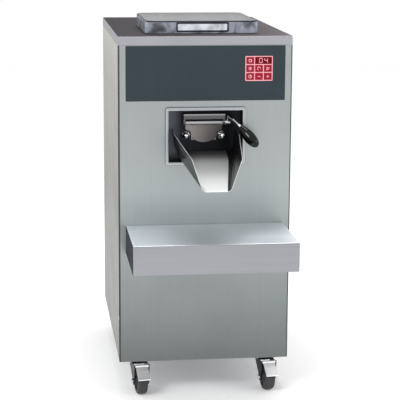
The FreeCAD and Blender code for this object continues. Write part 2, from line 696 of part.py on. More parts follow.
def lever_grip():
    """Egg-shaped grip, turned about the end of the lever rod."""
    neck, along = lever_points()[1:]
    start = LEVER_RADIUS
    belly = GRIP_LENGTH * GRIP_BELLY_AT
    nose = GRIP_LENGTH
    bore = LEVER_RADIUS + SET
    flank = Part.Arc(V(GRIP_NECK, 0, start), V((GRIP_NECK + GRIP_BELLY) / 2 + GRIP_SWELL, 0, belly / 2),
                     V(GRIP_BELLY, 0, belly)).toShape()
    round_off = GRIP_CAP_SHARE
    cap = Part.Arc(V(GRIP_BELLY, 0, belly), V(GRIP_BELLY * round_off, 0, belly + (nose - belly) * round_off),
                   V(GRIP_TIP, 0, nose)).toShape()
    corners = [V(GRIP_TIP, 0, nose), V(0, 0, nose), V(0, 0, GRIP_BORE_DEPTH), V(bore, 0, GRIP_BORE_DEPTH),
               V(bore, 0, start), V(GRIP_NECK, 0, start)]
    lines = [Part.LineSegment(a, b).toShape() for a, b in zip(corners, corners[1:])]
    face = Part.Face(Part.Wire([flank, cap] + lines))
    grip = face.revolve(V(0, 0, 0), V(0, 0, 1), 360)
    grip.Placement = FreeCAD.Placement(neck, FreeCAD.Rotation(V(0, 0, 1), along))
    return grip


def dome_nuts():
    """Two domed nuts on studs that clamp the chute to the recess."""
    nuts = []
    for side in (-1, 1):
        face = V(side * NUT_X, RECESS_BACK - CHUTE_SHEET, TOP - NUT_DROP)
        tip = face.sub(V(0, NUT_LENGTH, 0))
        nut = rod(face, tip, NUT_RADIUS)
        rim = [e for e in nut.Edges if abs(e.CenterOfMass.y - tip.y) < 0.01]
        nut = nut.makeFillet(NUT_RADIUS * 0.7, rim[:1])
        stud = rod(face, face.add(V(0, CHUTE_SHEET + SHEET + NUT_LENGTH / 4, 0)), STUD_RADIUS)
        nuts.append(nut.fuse(stud))
    return group(nuts)


# ---- chute and shelf -----------------------------------------------------------------------
def chute_section(y, sizes, grow, lift):
    """Closed U outline of the chute at one depth, grown outwards, its open side lifted."""
    floor_half, floor_drop, rim_half, rim_drop = sizes
    floor = V(floor_half, y, TOP - floor_drop)
    rim = V(rim_half, y, TOP - rim_drop)
    side = rim.sub(floor).normalize()
    outward = V(side.z, 0, -side.x)
    turn = V(1, 0, 0).getAngle(side)
    bend = CHUTE_BEND + grow
    low_corner = V(floor.x + grow * math.tan(turn / 2), y, floor.z - grow)
    top = rim.add(V(outward).multiply(grow)).add(V(side).multiply(lift))
    setback = bend * math.tan(turn / 2)
    arc_low = low_corner.sub(V(setback, 0, 0))
    arc_high = low_corner.add(V(side).multiply(setback))
    toward = V(arc_high).add(arc_low).multiply(0.5).sub(low_corner).normalize()
    middle = low_corner.add(toward.multiply(bend / math.cos(turn / 2) - bend))

    def mirrored(point):
        return V(-point.x, point.y, point.z)

    edges = [Part.LineSegment(top, arc_high), Part.Arc(arc_high, middle, arc_low),
             Part.LineSegment(arc_low, mirrored(arc_low)),
             Part.Arc(mirrored(arc_low), mirrored(middle), mirrored(arc_high)),
             Part.LineSegment(mirrored(arc_high), mirrored(top)), Part.LineSegment(mirrored(top), top)]
    return Part.Wire([edge.toShape() for edge in edges])


def chute_body(grow, lift, back, end):
    """Solid of the chute outline along its whole length."""
    sections = [(back, CHUTE_BACK), (FRONT - CHUTE_KNEE, CHUTE_MIDDLE), (end, CHUTE_FRONT)]
    wires = [chute_section(y, sizes, grow, lift) for y, sizes in sections]
    return Part.makeLoft(wires, True, True)


def discharge_chute():
    """Polished trough with a back flange that the dome nuts hold."""
    end = FRONT - CHUTE_END
    trough = chute_body(CHUTE_SHEET, 0.0, RECESS_BACK, end)
    trough = trough.cut(chute_body(0.0, CHUTE_BEND, RECESS_BACK, end))
    flange = chute_body(0.0, 0.0, RECESS_BACK, end)
    slab = block((-SIDE, SIDE), (RECESS_BACK - CHUTE_SHEET, RECESS_BACK), (BOTTOM, TOP - CHUTE_BACK[3]))
    flange = flange.common(slab)
    flange = flange.cut(spout_box(SPOUT_WALL + FIT, RECESS_BACK - 2 * SHEET, RECESS_BACK + SHEET))
    keep_out = block((-GATE_TOP_HALF - FIT, GATE_TOP_HALF + FIT), (FRONT, RECESS_BACK + SHEET),
                     (AXIS.z - GATE_SHOULDER, TOP))
    flange = flange.cut(keep_out)
    return one(trough.fuse(flange).cut(stud_cutters()))


def shelf():
    """Box shelf folded from sheet, open underneath, screwed flat to the front panel."""
    half = SHELF_WIDTH / 2
    high = TOP - SHELF_DROP
    low = high - SHELF_HEIGHT
    outer = block((-half, half), (FRONT - SHELF_DEPTH, FRONT), (low, high))
    bent = [e for e in outer.Edges
            if abs(e.CenterOfMass.z - high) < 0.01 and abs(e.CenterOfMass.y - FRONT) > 0.01
            or abs(e.tangentAt(e.FirstParameter).z) > 0.99 and e.CenterOfMass.y < FRONT - 1]
    outer = outer.makeFillet(SHELF_BEND, bent)
    inner = block((-half + SHEET, half - SHEET), (FRONT - SHELF_DEPTH + SHEET, FRONT - SHEET),
                  (low, high - SHEET))
    hollow = block((-half + SHEET, half - SHEET), (FRONT - 2 * SHEET, FRONT), (low, high - SHELF_FLANGE))
    return one(outer.cut(inner).cut(hollow))


# ---- lid -----------------------------------------------------------------------------------
def lid_gasket():
    """Flat rubber frame between the top cover and the lid."""
    y = (LID_FRONT, LID_FRONT + LID_DEPTH)
    outer = rounded_block(LID_WIDTH / 2, y, (TOP, TOP + GASKET), LID_CORNER)
    inner = rounded_block(LID_WIDTH / 2 - LID_WALL, (y[0] + LID_WALL, y[1] - LID_WALL), (TOP, TOP + GASKET),
                          LID_CORNER - LID_WALL)
    return one(outer.cut(inner))


def clear_lid():
    """Transparent box lid with a framed front and two hinge knuckles behind."""
    back = LID_FRONT + LID_DEPTH
    outer = rounded_block(LID_WIDTH / 2, (LID_FRONT, back), (LID_BOTTOM, LID_TOP), LID_CORNER)
    inner = rounded_block(LID_WIDTH / 2 - LID_WALL, (LID_FRONT + LID_WALL, back - LID_WALL),
                          (LID_BOTTOM, LID_TOP - LID_WALL), LID_CORNER - LID_WALL)
    lid = outer.cut(inner)
    half = FRAME_WIDTH / 2
    middle = (LID_BOTTOM + LID_TOP) / 2
    frame = block((-half, half), (LID_FRONT - FRAME_PROUD, LID_FRONT),
                  (middle - FRAME_HEIGHT / 2, middle + FRAME_HEIGHT / 2))
    pane = block((-half + FRAME_BAR, half - FRAME_BAR), (LID_FRONT - 2 * FRAME_PROUD, LID_FRONT),
                 (middle - FRAME_HEIGHT / 2 + FRAME_BAR, middle + FRAME_HEIGHT / 2 - FRAME_BAR))
    parts = [frame.cut(pane)]
    for side in (-1, 1):
        start = V(side * HINGE_X - KNUCKLE_LENGTH / 2, HINGE.y, HINGE.z)
        parts.append(rod(start, start.add(V(KNUCKLE_LENGTH, 0, 0)), KNUCKLE_RADIUS))
        parts.append(block((start.x, start.x + KNUCKLE_LENGTH), (back - LID_WALL / 2, HINGE.y),
                           (HINGE.z, HINGE.z + KNUCKLE_RADIUS)))
    lid = lid.multiFuse(parts)
    bore = rod(V(-SIDE, HINGE.y, HINGE.z), V(SIDE, HINGE.y, HINGE.z), PIN_RADIUS + RUN)
    return one(lid.cut(bore))


def lid_hinge_brackets():
    """Two hinge brackets on the top cover, each with its pin."""
    brackets = []
    for side in (-1, 1):
        inner = KNUCKLE_LENGTH / 2 + FIT
        parts = [rod(V(side * HINGE_X - inner - HINGE_EAR, HINGE.y, HINGE.z),
                     V(side * HINGE_X + inner + HINGE_EAR, HINGE.y, HINGE.z), PIN_RADIUS)]
        for x in (side * HINGE_X - inner - HINGE_EAR, side * HINGE_X + inner):
            parts.append(rod(V(x, HINGE.y, HINGE.z), V(x + HINGE_EAR, HINGE.y, HINGE.z), KNUCKLE_RADIUS))
            parts.append(block((x, x + HINGE_EAR), (HINGE.y - KNUCKLE_RADIUS, HINGE.y + KNUCKLE_RADIUS),
                               (TOP, HINGE.z)))
        foot_x = side * HINGE_X
        half = inner + HINGE_EAR
        foot_z = (TOP, TOP + SHEET)
        foot_front = HINGE.y + KNUCKLE_RADIUS + FIT
        parts.append(block((foot_x - half, foot_x + half), (foot_front, foot_front + HINGE_FOOT), foot_z))
        for x in (foot_x - half, foot_x + inner):
            parts.append(block((x, x + HINGE_EAR), (HINGE.y, foot_front + KNUCKLE_RADIUS), foot_z))
        brackets.append(one(parts[0].multiFuse(parts[1:])))
    return group(brackets)


# ---- freezing cylinder ---------------------------------------------------------------------
def freezing_cylinder():
    """Upright vessel with its rim, floor and welded outlet spout."""
    vessel = chamber(CYLINDER_OUTER, INNER_FLOOR - FLOOR_THICK, TOP + RIM_THICK)
    rim = chamber(CYLINDER_OUTER + RIM_WIDTH - CYLINDER_WALL, TOP, TOP + RIM_THICK)
    spout = spout_box(SPOUT_WALL, RECESS_BACK - SPOUT_PROUD, CYLINDER_Y - BORE_RADIUS / 2)
    vessel = vessel.fuse(rim).fuse(spout)
    vessel = vessel.cut(chamber(BORE_RADIUS, INNER_FLOOR, TOP + 2 * RIM_THICK))
    vessel = vessel.cut(spout_box(0.0, RECESS_BACK - 2 * SPOUT_PROUD, CYLINDER_Y - BORE_RADIUS / 2))
    vessel = vessel.cut(chamber(SEAL_RADIUS + SET, INNER_FLOOR - FLOOR_THICK, INNER_FLOOR))
    return one(vessel)


def evaporator_coil():
    """Turns of copper tube round the cylinder, joined by a header, with two stubs to the rear."""
    turns = [Part.makeTorus(COIL_CENTRE, COIL_RADIUS, V(0, CYLINDER_Y, COIL_LOW + i * COIL_PITCH))
             for i in range(COIL_TURNS)]
    parts = [post(V(0, CYLINDER_Y + COIL_CENTRE, 0), HEADER_RADIUS, COIL_LOW, COIL_HIGH)]
    for x, z in ((-STUB_X, COIL_LOW), (STUB_X, COIL_HIGH)):
        start = V(x, CYLINDER_Y + math.sqrt(COIL_CENTRE ** 2 - STUB_X ** 2), z)
        parts.append(rod(start, V(x, CYLINDER_Y + FOAM_OUTER + STUB_REACH, z), STUB_RADIUS))
    coil = parts[0].multiFuse(parts[1:])
    for turn in turns:
        coil = coil.fuse(turn)
    return one(coil)


def cylinder_insulation():
    """Foam sleeve round the cylinder and its coil."""
    low = INNER_FLOOR - FLOOR_THICK
    high = TOP - SKIRT
    sleeve = chamber(FOAM_OUTER, low, high).cut(chamber(FOAM_INNER, low, high))
    sleeve = sleeve.cut(spout_box(SPOUT_WALL + FIT, RECESS_BACK, CYLINDER_Y))
    for x, z in ((-STUB_X, COIL_LOW), (STUB_X, COIL_HIGH)):
        sleeve = sleeve.cut(rod(V(x, CYLINDER_Y, z), V(x, CYLINDER_Y + 2 * FOAM_OUTER, z), COIL_RADIUS + FIT))
    return one(sleeve)


def dasher_arm(turn, low):
    """One arm of the dasher from the hub to a bar."""
    arm = block((0, BAR_OUTER), (-BAR_THICK / 2, BAR_THICK / 2), (low, low + ARM_HEIGHT))
    return set_on_axis(arm, turn)


def set_on_axis(shape, turn):
    """Turns a shape about the upright axis and moves it to the cylinder."""
    shape.rotate(V(0, 0, 0), V(0, 0, 1), turn)
    shape.translate(V(0, CYLINDER_Y, 0))
    return shape


def dasher():
    """Hub with three upright bars on arms, top and bottom."""
    low = INNER_FLOOR + DASHER_GAP
    high = low + DASHER_HEIGHT
    hub = chamber(DASHER_HUB, low, high)
    parts = []
    for i in range(DASHER_BARS):
        turn = DASHER_PHASE + i * 360 / DASHER_BARS
        parts.append(dasher_arm(turn, low))
        parts.append(dasher_arm(turn, high - 2 * ARM_HEIGHT))
        bar = block((BAR_OUTER - BAR_WIDTH, BAR_OUTER), (-BAR_THICK / 2, BAR_THICK / 2),
                    (low, high - ARM_HEIGHT))
        parts.append(set_on_axis(bar, turn))
    frame = hub.multiFuse(parts)
    return one(frame.cut(chamber(SHAFT_RADIUS + SET, low, INNER_FLOOR + SHAFT_TOP + FIT)))


def scraper_blades():
    """Three plastic strips on the dasher bars."""
    low = INNER_FLOOR + DASHER_GAP
    high = low + DASHER_HEIGHT - ARM_HEIGHT
    blades = []
    for i in range(DASHER_BARS):
        turn = DASHER_PHASE + i * 360 / DASHER_BARS
        blade = block((BAR_OUTER - BLADE_LAP, BORE_RADIUS - BLADE_GAP),
                      (BAR_THICK / 2, BAR_THICK / 2 + BLADE_THICK), (low, high))
        blades.append(set_on_axis(blade, turn))
    return group(blades)


def drive_shaft():
    """Upright shaft through the floor of the cylinder."""
    return chamber(SHAFT_RADIUS, PULLEY_BOTTOM - SHAFT_PROUD, INNER_FLOOR + SHAFT_TOP)


def shaft_seal():
    """Lip seal in the floor of the cylinder."""
    low = INNER_FLOOR - FLOOR_THICK
    return chamber(SEAL_RADIUS, low, INNER_FLOOR).cut(chamber(SHAFT_RADIUS + RUN, low, INNER_FLOOR))


# ---- drive ---------------------------------------------------------------------------------
def bearing_housing():
    """Casting on the side rails with the bearing tube and an arm for the motor."""
    half = SIDE - SHEET - PLATE - FIT
    plate_z = (CASTING_BOTTOM, CASTING_TOP)
    beam = block((-half, half), (CYLINDER_Y - BEAM_HALF, CYLINDER_Y + BEAM_HALF), plate_z)
    arm = block((-MOTOR_FLANGE, MOTOR_FLANGE), (CYLINDER_Y, MOTOR_Y), plate_z)
    pad = post(MOTOR_AXIS, MOTOR_FLANGE, *plate_z)
    tube = chamber(HOUSING_RADIUS, CASTING_BOTTOM, INNER_FLOOR - FLOOR_THICK)
    flange = chamber(HOUSING_FLANGE, INNER_FLOOR - 2 * FLOOR_THICK, INNER_FLOOR - FLOOR_THICK)
    casting = beam.multiFuse([arm, pad, tube, flange])
    casting = casting.cut(chamber(BEARING_RADIUS + SET, CASTING_BOTTOM, INNER_FLOOR))
    return one(casting.cut(post(MOTOR_AXIS, MOTOR_SHAFT + SHEET, CASTING_BOTTOM - CASTING_PLATE, TOP)))


def shaft_bearings():
    """Two bearings pressed into the housing."""
    rings = []
    for low in (CASTING_BOTTOM, INNER_FLOOR - FLOOR_THICK - BEARING_HEIGHT - PLATE):
        ring = chamber(BEARING_RADIUS, low, low + BEARING_HEIGHT)
        rings.append(ring.cut(chamber(SHAFT_RADIUS + RUN, low, low + BEARING_HEIGHT)))
    return group(rings)


def pulley(y, radius, low):
    """Flanged belt pulley blank on an upright axis."""
    disc = Part.makeCylinder(radius, PULLEY_HEIGHT, V(0, y, low))
    flanges = [Part.makeCylinder(radius + BELT_THICK, PULLEY_FLANGE, V(0, y, z))
               for z in (low, low + PULLEY_HEIGHT - PULLEY_FLANGE)]
    return disc.multiFuse(flanges)


def driven_pulley():
    """Large pulley keyed to the dasher shaft."""
    blank = pulley(CYLINDER_Y, DRIVEN_RADIUS, PULLEY_BOTTOM)
    return one(blank.cut(chamber(SHAFT_RADIUS + SET, PULLEY_BOTTOM, PULLEY_TOP)))


def motor_pulley():
    """Small pulley with the motor shaft that it is fixed to."""
    shaft = post(MOTOR_AXIS, MOTOR_SHAFT, PULLEY_BOTTOM, CASTING_TOP + MOTOR_HEIGHT / 2)
    return one(pulley(MOTOR_Y, DRIVER_RADIUS, PULLEY_BOTTOM).fuse(shaft))


def belt_loop(grow, low, high):
    """Slab of the belt outline round both pulleys, grown outwards."""
    big, small = DRIVEN_RADIUS + grow, DRIVER_RADIUS + grow
    span = MOTOR_Y - CYLINDER_Y
    lean = math.asin((big - small) / span)
    corners = []
    for side in (1, -1):
        normal = V(side * math.cos(lean), math.sin(lean), 0)
        corners.append((V(0, CYLINDER_Y, low).add(V(normal).multiply(big)),
                        V(0, MOTOR_Y, low).add(V(normal).multiply(small))))
    (right_big, right_small), (left_big, left_small) = corners
    edges = [Part.LineSegment(right_big, right_small),
             Part.Arc(right_small, V(0, MOTOR_Y + small, low), left_small),
             Part.LineSegment(left_small, left_big),
             Part.Arc(left_big, V(0, CYLINDER_Y - big, low), right_big)]
    return Part.Face(Part.Wire([edge.toShape() for edge in edges])).extrude(V(0, 0, high - low))


def drive_belt():
    """Flat belt round the two pulleys."""
    low = PULLEY_BOTTOM + PULLEY_FLANGE + FIT
    high = low + BELT_WIDTH
    return belt_loop(FIT + BELT_THICK, low, high).cut(belt_loop(FIT, low, high))


def drive_motor():
    """Finned motor standing on the casting, with its terminal box."""
    body = post(MOTOR_AXIS, MOTOR_RADIUS - FIN_REACH, CASTING_TOP, CASTING_TOP + MOTOR_HEIGHT)
    parts = [post(MOTOR_AXIS, MOTOR_FLANGE, CASTING_TOP, CASTING_TOP + CASTING_PLATE)]
    fin_low = CASTING_TOP + FIN_INSET
    fin_high = CASTING_TOP + MOTOR_HEIGHT - FIN_INSET
    for i in range(MOTOR_FINS):
        fin = block((0, MOTOR_RADIUS), (-FIN_THICK / 2, FIN_THICK / 2), (fin_low, fin_high))
        fin.rotate(V(0, 0, 0), V(0, 0, 1), i * 360 / MOTOR_FINS)
        fin.translate(V(0, MOTOR_Y, 0))
        parts.append(fin)
    half = TERMINAL_BOX / 2
    centre_z = CASTING_TOP + TERMINAL_RISE
    parts.append(block((-half, half), (MOTOR_Y, MOTOR_Y + MOTOR_RADIUS + TERMINAL_PROUD),
                       (centre_z - half, centre_z + half)))
    motor = body.multiFuse(parts)
    bore = post(MOTOR_AXIS, MOTOR_SHAFT + RUN, CASTING_TOP, CASTING_TOP + MOTOR_HEIGHT / 2 + PLATE)
    return one(motor.cut(bore))


# ---- refrigeration -------------------------------------------------------------------------
COMPRESSOR_TOP = TRAY_FLOOR + FOOT_HEIGHT + COMPRESSOR_HEIGHT
CONDENSER_LOW = TRAY_FLOOR + FOOT_HEIGHT + CONDENSER_TUBE
CONDENSER_HIGH = CONDENSER_LOW + (CONDENSER_TURNS - 1) * CONDENSER_PITCH
STUB_TOP = COMPRESSOR_TOP + STUB_PROUD
COMPRESSOR_STUBS = (COMPRESSOR_X - STUB_LEFT, COMPRESSOR_X + STUB_RIGHT)
CONDENSER_TOP = CONDENSER_HIGH + 2 * CONDENSER_TUBE


def compressor():
    """Hermetic compressor can on three feet, with two stubs on top."""
    can = post(V(COMPRESSOR_X, PACK_Y, 0), COMPRESSOR_RADIUS, TRAY_FLOOR + FOOT_HEIGHT, COMPRESSOR_TOP)
    can = can.makeFillet(COMPRESSOR_ROUND, [e for e in can.Edges if e.Closed])
    parts = []
    for i in range(3):
        angle = math.radians(90 + 120 * i)
        foot_x = COMPRESSOR_X + COMPRESSOR_FEET * math.cos(angle)
        foot_y = PACK_Y + COMPRESSOR_FEET * math.sin(angle)
        parts.append(post(V(foot_x, foot_y, 0), COMPRESSOR_FOOT, TRAY_FLOOR, TRAY_FLOOR + 2 * FOOT_HEIGHT))
    for x in COMPRESSOR_STUBS:
        parts.append(post(V(x, PACK_Y, 0), PIPE_RADIUS, COMPRESSOR_TOP - STUB_SUNK, STUB_TOP))
    return one(can.multiFuse(parts))


def condenser_coil():
    """Stacked turns of the water-cooled condenser with their headers and tails."""
    centre = V(CONDENSER_X, PACK_Y, 0)
    levels = [CONDENSER_LOW + i * CONDENSER_PITCH for i in range(CONDENSER_TURNS)]
    turns = [Part.makeTorus(CONDENSER_RADIUS, CONDENSER_TUBE, centre.add(V(0, 0, z))) for z in levels]
    parts = []
    for side in (-1, 1):
        side_axis = centre.add(V(side * CONDENSER_RADIUS, 0, 0))
        parts.append(post(side_axis, PIPE_RADIUS, CONDENSER_LOW, CONDENSER_TOP))
        parts.append(post(side_axis, CONDENSER_TUBE / 2, TRAY_FLOOR, CONDENSER_LOW))
    for x in WATER_X:
        reach = math.sqrt(CONDENSER_RADIUS ** 2 - (x - CONDENSER_X) ** 2)
        z = BOTTOM + WATER_RISE
        parts.append(rod(V(x, PACK_Y + reach, z), V(x, BACK - WATER_INSIDE, z), TAIL_RADIUS))
    return one(turns[0].multiFuse(turns[1:] + parts))


def refrigerant_pipes():
    """Suction, liquid and discharge lines, the liquid line with its filter drier brazed in."""
    stub_y = CYLINDER_Y + FOAM_OUTER + STUB_REACH
    lane = stub_y + PIPE_LANE
    level = STUB_TOP + PIPE_CLIMB
    suction_x, discharge_x = COMPRESSOR_STUBS
    suction = bent_tube([V(-STUB_X, stub_y, COIL_LOW), V(-STUB_X, lane, COIL_LOW),
                         V(-STUB_X, lane, level + PIPE_FALL), V(suction_x, PACK_Y, level),
                         V(suction_x, PACK_Y, STUB_TOP)], PIPE_RADIUS, PIPE_BEND)
    outlet_x = CONDENSER_X + CONDENSER_RADIUS
    inlet_x = CONDENSER_X - CONDENSER_RADIUS
    liquid = bent_tube([V(STUB_X, stub_y, COIL_HIGH), V(STUB_X, lane, COIL_HIGH),
                        V(STUB_X, lane, level + PIPE_FALL), V(outlet_x, PACK_Y, level),
                        V(outlet_x, PACK_Y, CONDENSER_TOP)], PIPE_RADIUS, PIPE_BEND)
    drier_low = level + DRIER_RISE
    drier = post(V(STUB_X, lane, 0), DRIER_RADIUS, drier_low, drier_low + DRIER_LENGTH)
    drier = drier.makeFillet(DRIER_RADIUS / 2, [e for e in drier.Edges if e.Closed])
    lower = level - PIPE_BELOW
    discharge = bent_tube([V(discharge_x, PACK_Y, STUB_TOP), V(discharge_x, PACK_Y, lower),
                           V(inlet_x, PACK_Y, lower), V(inlet_x, PACK_Y, CONDENSER_TOP)],
                          PIPE_RADIUS, PIPE_BEND)
    return group([suction, one(liquid.fuse(drier)), discharge])


def water_fittings():
    """Water inlet and outlet stubs through the rear panel."""
    stubs = []
    for x in WATER_X:
        z = BOTTOM + WATER_RISE
        tube = rod(V(x, BACK - WATER_INSIDE, z), V(x, BACK + REAR_REACH, z), WATER_RADIUS)
        nut = hexagon(V(x, BACK, z), V(0, 1, 0), WATER_NUT, WATER_NUT_THICK)
        lock = hexagon(V(x, BACK - SHEET - WATER_NUT_THICK, z), V(0, 1, 0), WATER_NUT, WATER_NUT_THICK)
        bore = rod(V(x, BACK - WATER_INSIDE + WATER_END, z), V(x, BACK + REAR_REACH, z), WATER_BORE)
        stubs.append(one(tube.multiFuse([nut, lock]).cut(bore)))
    return group(stubs)


def cable_gland():
    """Gland for the mains cable, through the rear panel."""
    z = BOTTOM + GLAND_RISE
    body = rod(V(GLAND_X, BACK - 2 * WATER_NUT_THICK, z), V(GLAND_X, BACK + GLAND_REACH, z), GLAND_RADIUS)
    tip = [e for e in body.Edges if e.Closed and e.CenterOfMass.y > BACK]
    body = body.makeFillet(GLAND_RADIUS * 0.3, tip)
    nuts = [hexagon(V(GLAND_X, BACK, z), V(0, 1, 0), GLAND_NUT, WATER_NUT_THICK),
            hexagon(V(GLAND_X, BACK - SHEET - WATER_NUT_THICK, z), V(0, 1, 0), GLAND_NUT, WATER_NUT_THICK)]
    bore = rod(V(GLAND_X, BACK - 3 * WATER_NUT_THICK, z), V(GLAND_X, BACK + 2 * GLAND_REACH, z), GLAND_BORE)
    return one(body.multiFuse(nuts).cut(bore))


# ---- casters -------------------------------------------------------------------------------
CASTERS = {"front_left": (-CASTER_X, FRONT + CASTER_FRONT), "front_right": (CASTER_X, FRONT + CASTER_FRONT),
           "rear_left": (-CASTER_X, BACK - CASTER_REAR), "rear_right": (CASTER_X, BACK - CASTER_REAR)}


def set_caster(shape, name):
    """Turns a caster piece from its own frame, wheel towards +X, and moves it to its corner."""
    x, y = CASTERS[name]
    shape.rotate(V(0, 0, 0), V(0, 0, 1), CASTER_TURN - 90)
    shape.translate(V(x, y, 0))
    return shape


def caster_plates():
    """Four mounting plates, each with its kingpin."""
    plates = []
    underside = CASTER_HEIGHT - PLATE_THICK
    pin_low = YOKE_RISE - PLATE_THICK
    for x, y in CASTERS.values():
        top = block((x - PLATE_HALF, x + PLATE_HALF), (y - PLATE_HALF, y + PLATE_HALF),
                    (underside, CASTER_HEIGHT))
        top = top.makeFillet(PLATE_THICK, upright_edges(top))
        pin = post(V(x, y, 0), KINGPIN_RADIUS, pin_low, underside)
        head = post(V(x, y, 0), KINGPIN_HEAD, pin_low, YOKE_RISE - FIT)
        plates.append(one(top.multiFuse([pin, head])))
    return group(plates)


def fork_cheek(y, braked):
    """One side plate of a fork, from the yoke down to the axle."""
    back, nose = -YOKE_HALF, TRAIL + FORK_NOSE
    front = PEDAL_PIVOT[0] + PEDAL_EYE if braked else YOKE_HALF + FORK_NOSE
    top = PEDAL_PIVOT[1] + PEDAL_EYE - FIT if braked else YOKE_RISE
    outline = [V(back, y, YOKE_RISE), V(front, y, YOKE_RISE), V(nose, y, WHEEL_RADIUS),
               V(TRAIL, y, WHEEL_RADIUS - FORK_NOSE), V(TRAIL - FORK_NOSE, y, WHEEL_RADIUS)]
    cheek = Part.Face(Part.makePolygon(outline + outline[:1])).extrude(V(0, FORK_PLATE, 0))
    boss = Part.makeCylinder(FORK_NOSE, FORK_PLATE, V(TRAIL, y, WHEEL_RADIUS), V(0, 1, 0))
    parts = [boss]
    if braked:
        eye = V(PEDAL_PIVOT[0], y, PEDAL_PIVOT[1])
        parts.append(rod(eye, eye.add(V(0, FORK_PLATE, 0)), PEDAL_EYE))
        parts.append(block((YOKE_HALF, PEDAL_PIVOT[0]), (y, y + FORK_PLATE), (YOKE_RISE - FORK_NOSE, top)))
    return cheek.multiFuse(parts)


def caster_fork(name):
    """Swivel fork with its axle bolt, as two solids in one node."""
    braked = name.startswith("front")
    yoke_top = YOKE_RISE + FORK_PLATE
    yoke = block((-YOKE_HALF, YOKE_HALF), (-FORK_HALF, FORK_HALF), (YOKE_RISE, yoke_top))
    race = rod(V(0, 0, YOKE_RISE), V(0, 0, yoke_top + RACE_HEIGHT), RACE_RADIUS)
    cheeks = [fork_cheek(-FORK_HALF, braked), fork_cheek(FORK_HALF - FORK_PLATE, braked)]
    fork = yoke.multiFuse([race] + cheeks)
    hub = V(TRAIL, 0, WHEEL_RADIUS)
    side = V(0, FORK_HALF, 0)
    cutters = [post(V(0, 0, 0), KINGPIN_RADIUS + RUN, 0, CASTER_HEIGHT),
               rod(hub.sub(side), hub.add(side), AXLE_RADIUS + SET)]
    if braked:
        eye = V(PEDAL_PIVOT[0], 0, PEDAL_PIVOT[1])
        cutters.append(rod(eye.sub(side), eye.add(side), PEDAL_PIN + RUN))
    fork = fork.cut(Part.makeCompound(cutters))
    axle = rod(hub.sub(side), hub.add(side), AXLE_RADIUS)
    heads = [hexagon(hub.add(side), V(0, 1, 0), AXLE_NUT, AXLE_NUT_THICK),
             hexagon(hub.sub(side), V(0, -1, 0), AXLE_NUT, AXLE_NUT_THICK)]
    return set_caster(group([one(fork), axle.multiFuse(heads)]), name)


def caster_wheel(name):
    """Wheel with a rounded tread and a dished hub."""
    half = WHEEL_WIDTH / 2
    hub_half = FORK_HALF - FORK_PLATE - 2 * FIT
    wheel = rod(V(0, -half, 0), V(0, half, 0), WHEEL_RADIUS)
    wheel = wheel.makeFillet(WHEEL_ROUND, [e for e in wheel.Edges if e.Closed])
    for side in (-1, 1):
        wheel = wheel.cut(rod(V(0, side * (half - WHEEL_DISH), 0), V(0, side * half, 0), WHEEL_DISH_RADIUS))
    wheel = wheel.fuse(rod(V(0, -hub_half, 0), V(0, hub_half, 0), WHEEL_HUB))
    wheel = wheel.cut(rod(V(0, -hub_half, 0), V(0, hub_half, 0), AXLE_RADIUS + RUN))
    wheel.translate(V(TRAIL, 0, WHEEL_RADIUS))
    return set_caster(one(wheel), name)


def brake_pedal(name):
    """Pedal that swings down on to the tread, with its pivot pin."""
    eye = V(PEDAL_PIVOT[0], 0, PEDAL_PIVOT[1])
    half = FORK_HALF - FORK_PLATE - FIT
    sleeve = rod(eye.sub(V(0, half, 0)), eye.add(V(0, half, 0)), PEDAL_EYE - FIT)
    pin = rod(eye.sub(V(0, FORK_HALF, 0)), eye.add(V(0, FORK_HALF, 0)), PEDAL_PIN)
    tread = block((0, PEDAL_LENGTH), (-PEDAL_WIDTH / 2, PEDAL_WIDTH / 2), (-PEDAL_THICK / 2, PEDAL_THICK / 2))
    toe = rod(V(PEDAL_LENGTH, -PEDAL_WIDTH / 2, 0), V(PEDAL_LENGTH, PEDAL_WIDTH / 2, 0), PEDAL_THICK)
    leaf = tread.fuse(toe)
    leaf.rotate(V(0, 0, 0), V(0, 1, 0), PEDAL_SLOPE)
    leaf.translate(eye)
    return set_caster(one(sleeve.multiFuse([pin, leaf])), name)


# ---- all pieces ----------------------------------------------------------------------------
def main():
    """Builds every piece and writes it to parts/."""
    makers = [base_tray, inner_frame, front_panel, rear_panel, top_cover, panel_screws, control_fascia,
              keypad_bezel, display_window, electrical_box, freezing_cylinder, evaporator_coil,
              cylinder_insulation, lid_gasket, lid_hinge_brackets, shaft_seal, bearing_housing,
              shaft_bearings, drive_motor, drive_belt, compressor, condenser_coil, refrigerant_pipes,
              water_fittings, hatch_surround, gate_housing, dome_nuts, discharge_chute, shelf,
              caster_plates, cable_gland, clear_lid, discharge_gate, gate_spindle, lever_arm, lever_grip,
              dasher, scraper_blades, drive_shaft, driven_pulley, motor_pulley]
    pieces = {maker.__name__: maker() for maker in makers}
    pieces["left_side_panel"] = side_panel(-1)
    pieces["right_side_panel"] = side_panel(1)
    for number, place in enumerate(KEY_PLACES, start=1):
        pieces["keypad_key_%d" % number] = keypad_key(place)
    for name in CASTERS:
        pieces["caster_fork_" + name] = caster_fork(name)
        pieces["caster_wheel_" + name] = caster_wheel(name)
    for name in ("front_left", "front_right"):
        pieces["brake_pedal_" + name] = brake_pedal(name)
    os.makedirs("parts", exist_ok=True)
    for name, shape in pieces.items():
        shape.exportStep("parts/%s.step" % name)
        print(name, len(shape.Solids), "solids", round(shape.Volume, 1), "mm3", "valid", shape.isValid())
    print(len(pieces), "pieces")


main()
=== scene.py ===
"""Looks of a floor-standing vertical gelato batch freezer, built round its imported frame.

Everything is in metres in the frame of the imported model: +Z up, the front facing -Y. Each class
below is one sub-assembly. It holds its own sizes, takes its places from the frame's boxes, and
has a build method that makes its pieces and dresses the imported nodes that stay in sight.
"""
import logging
import math
from dataclasses import dataclass, field
from enum import Enum
from typing import Callable, Iterable, Mapping, Optional, Sequence

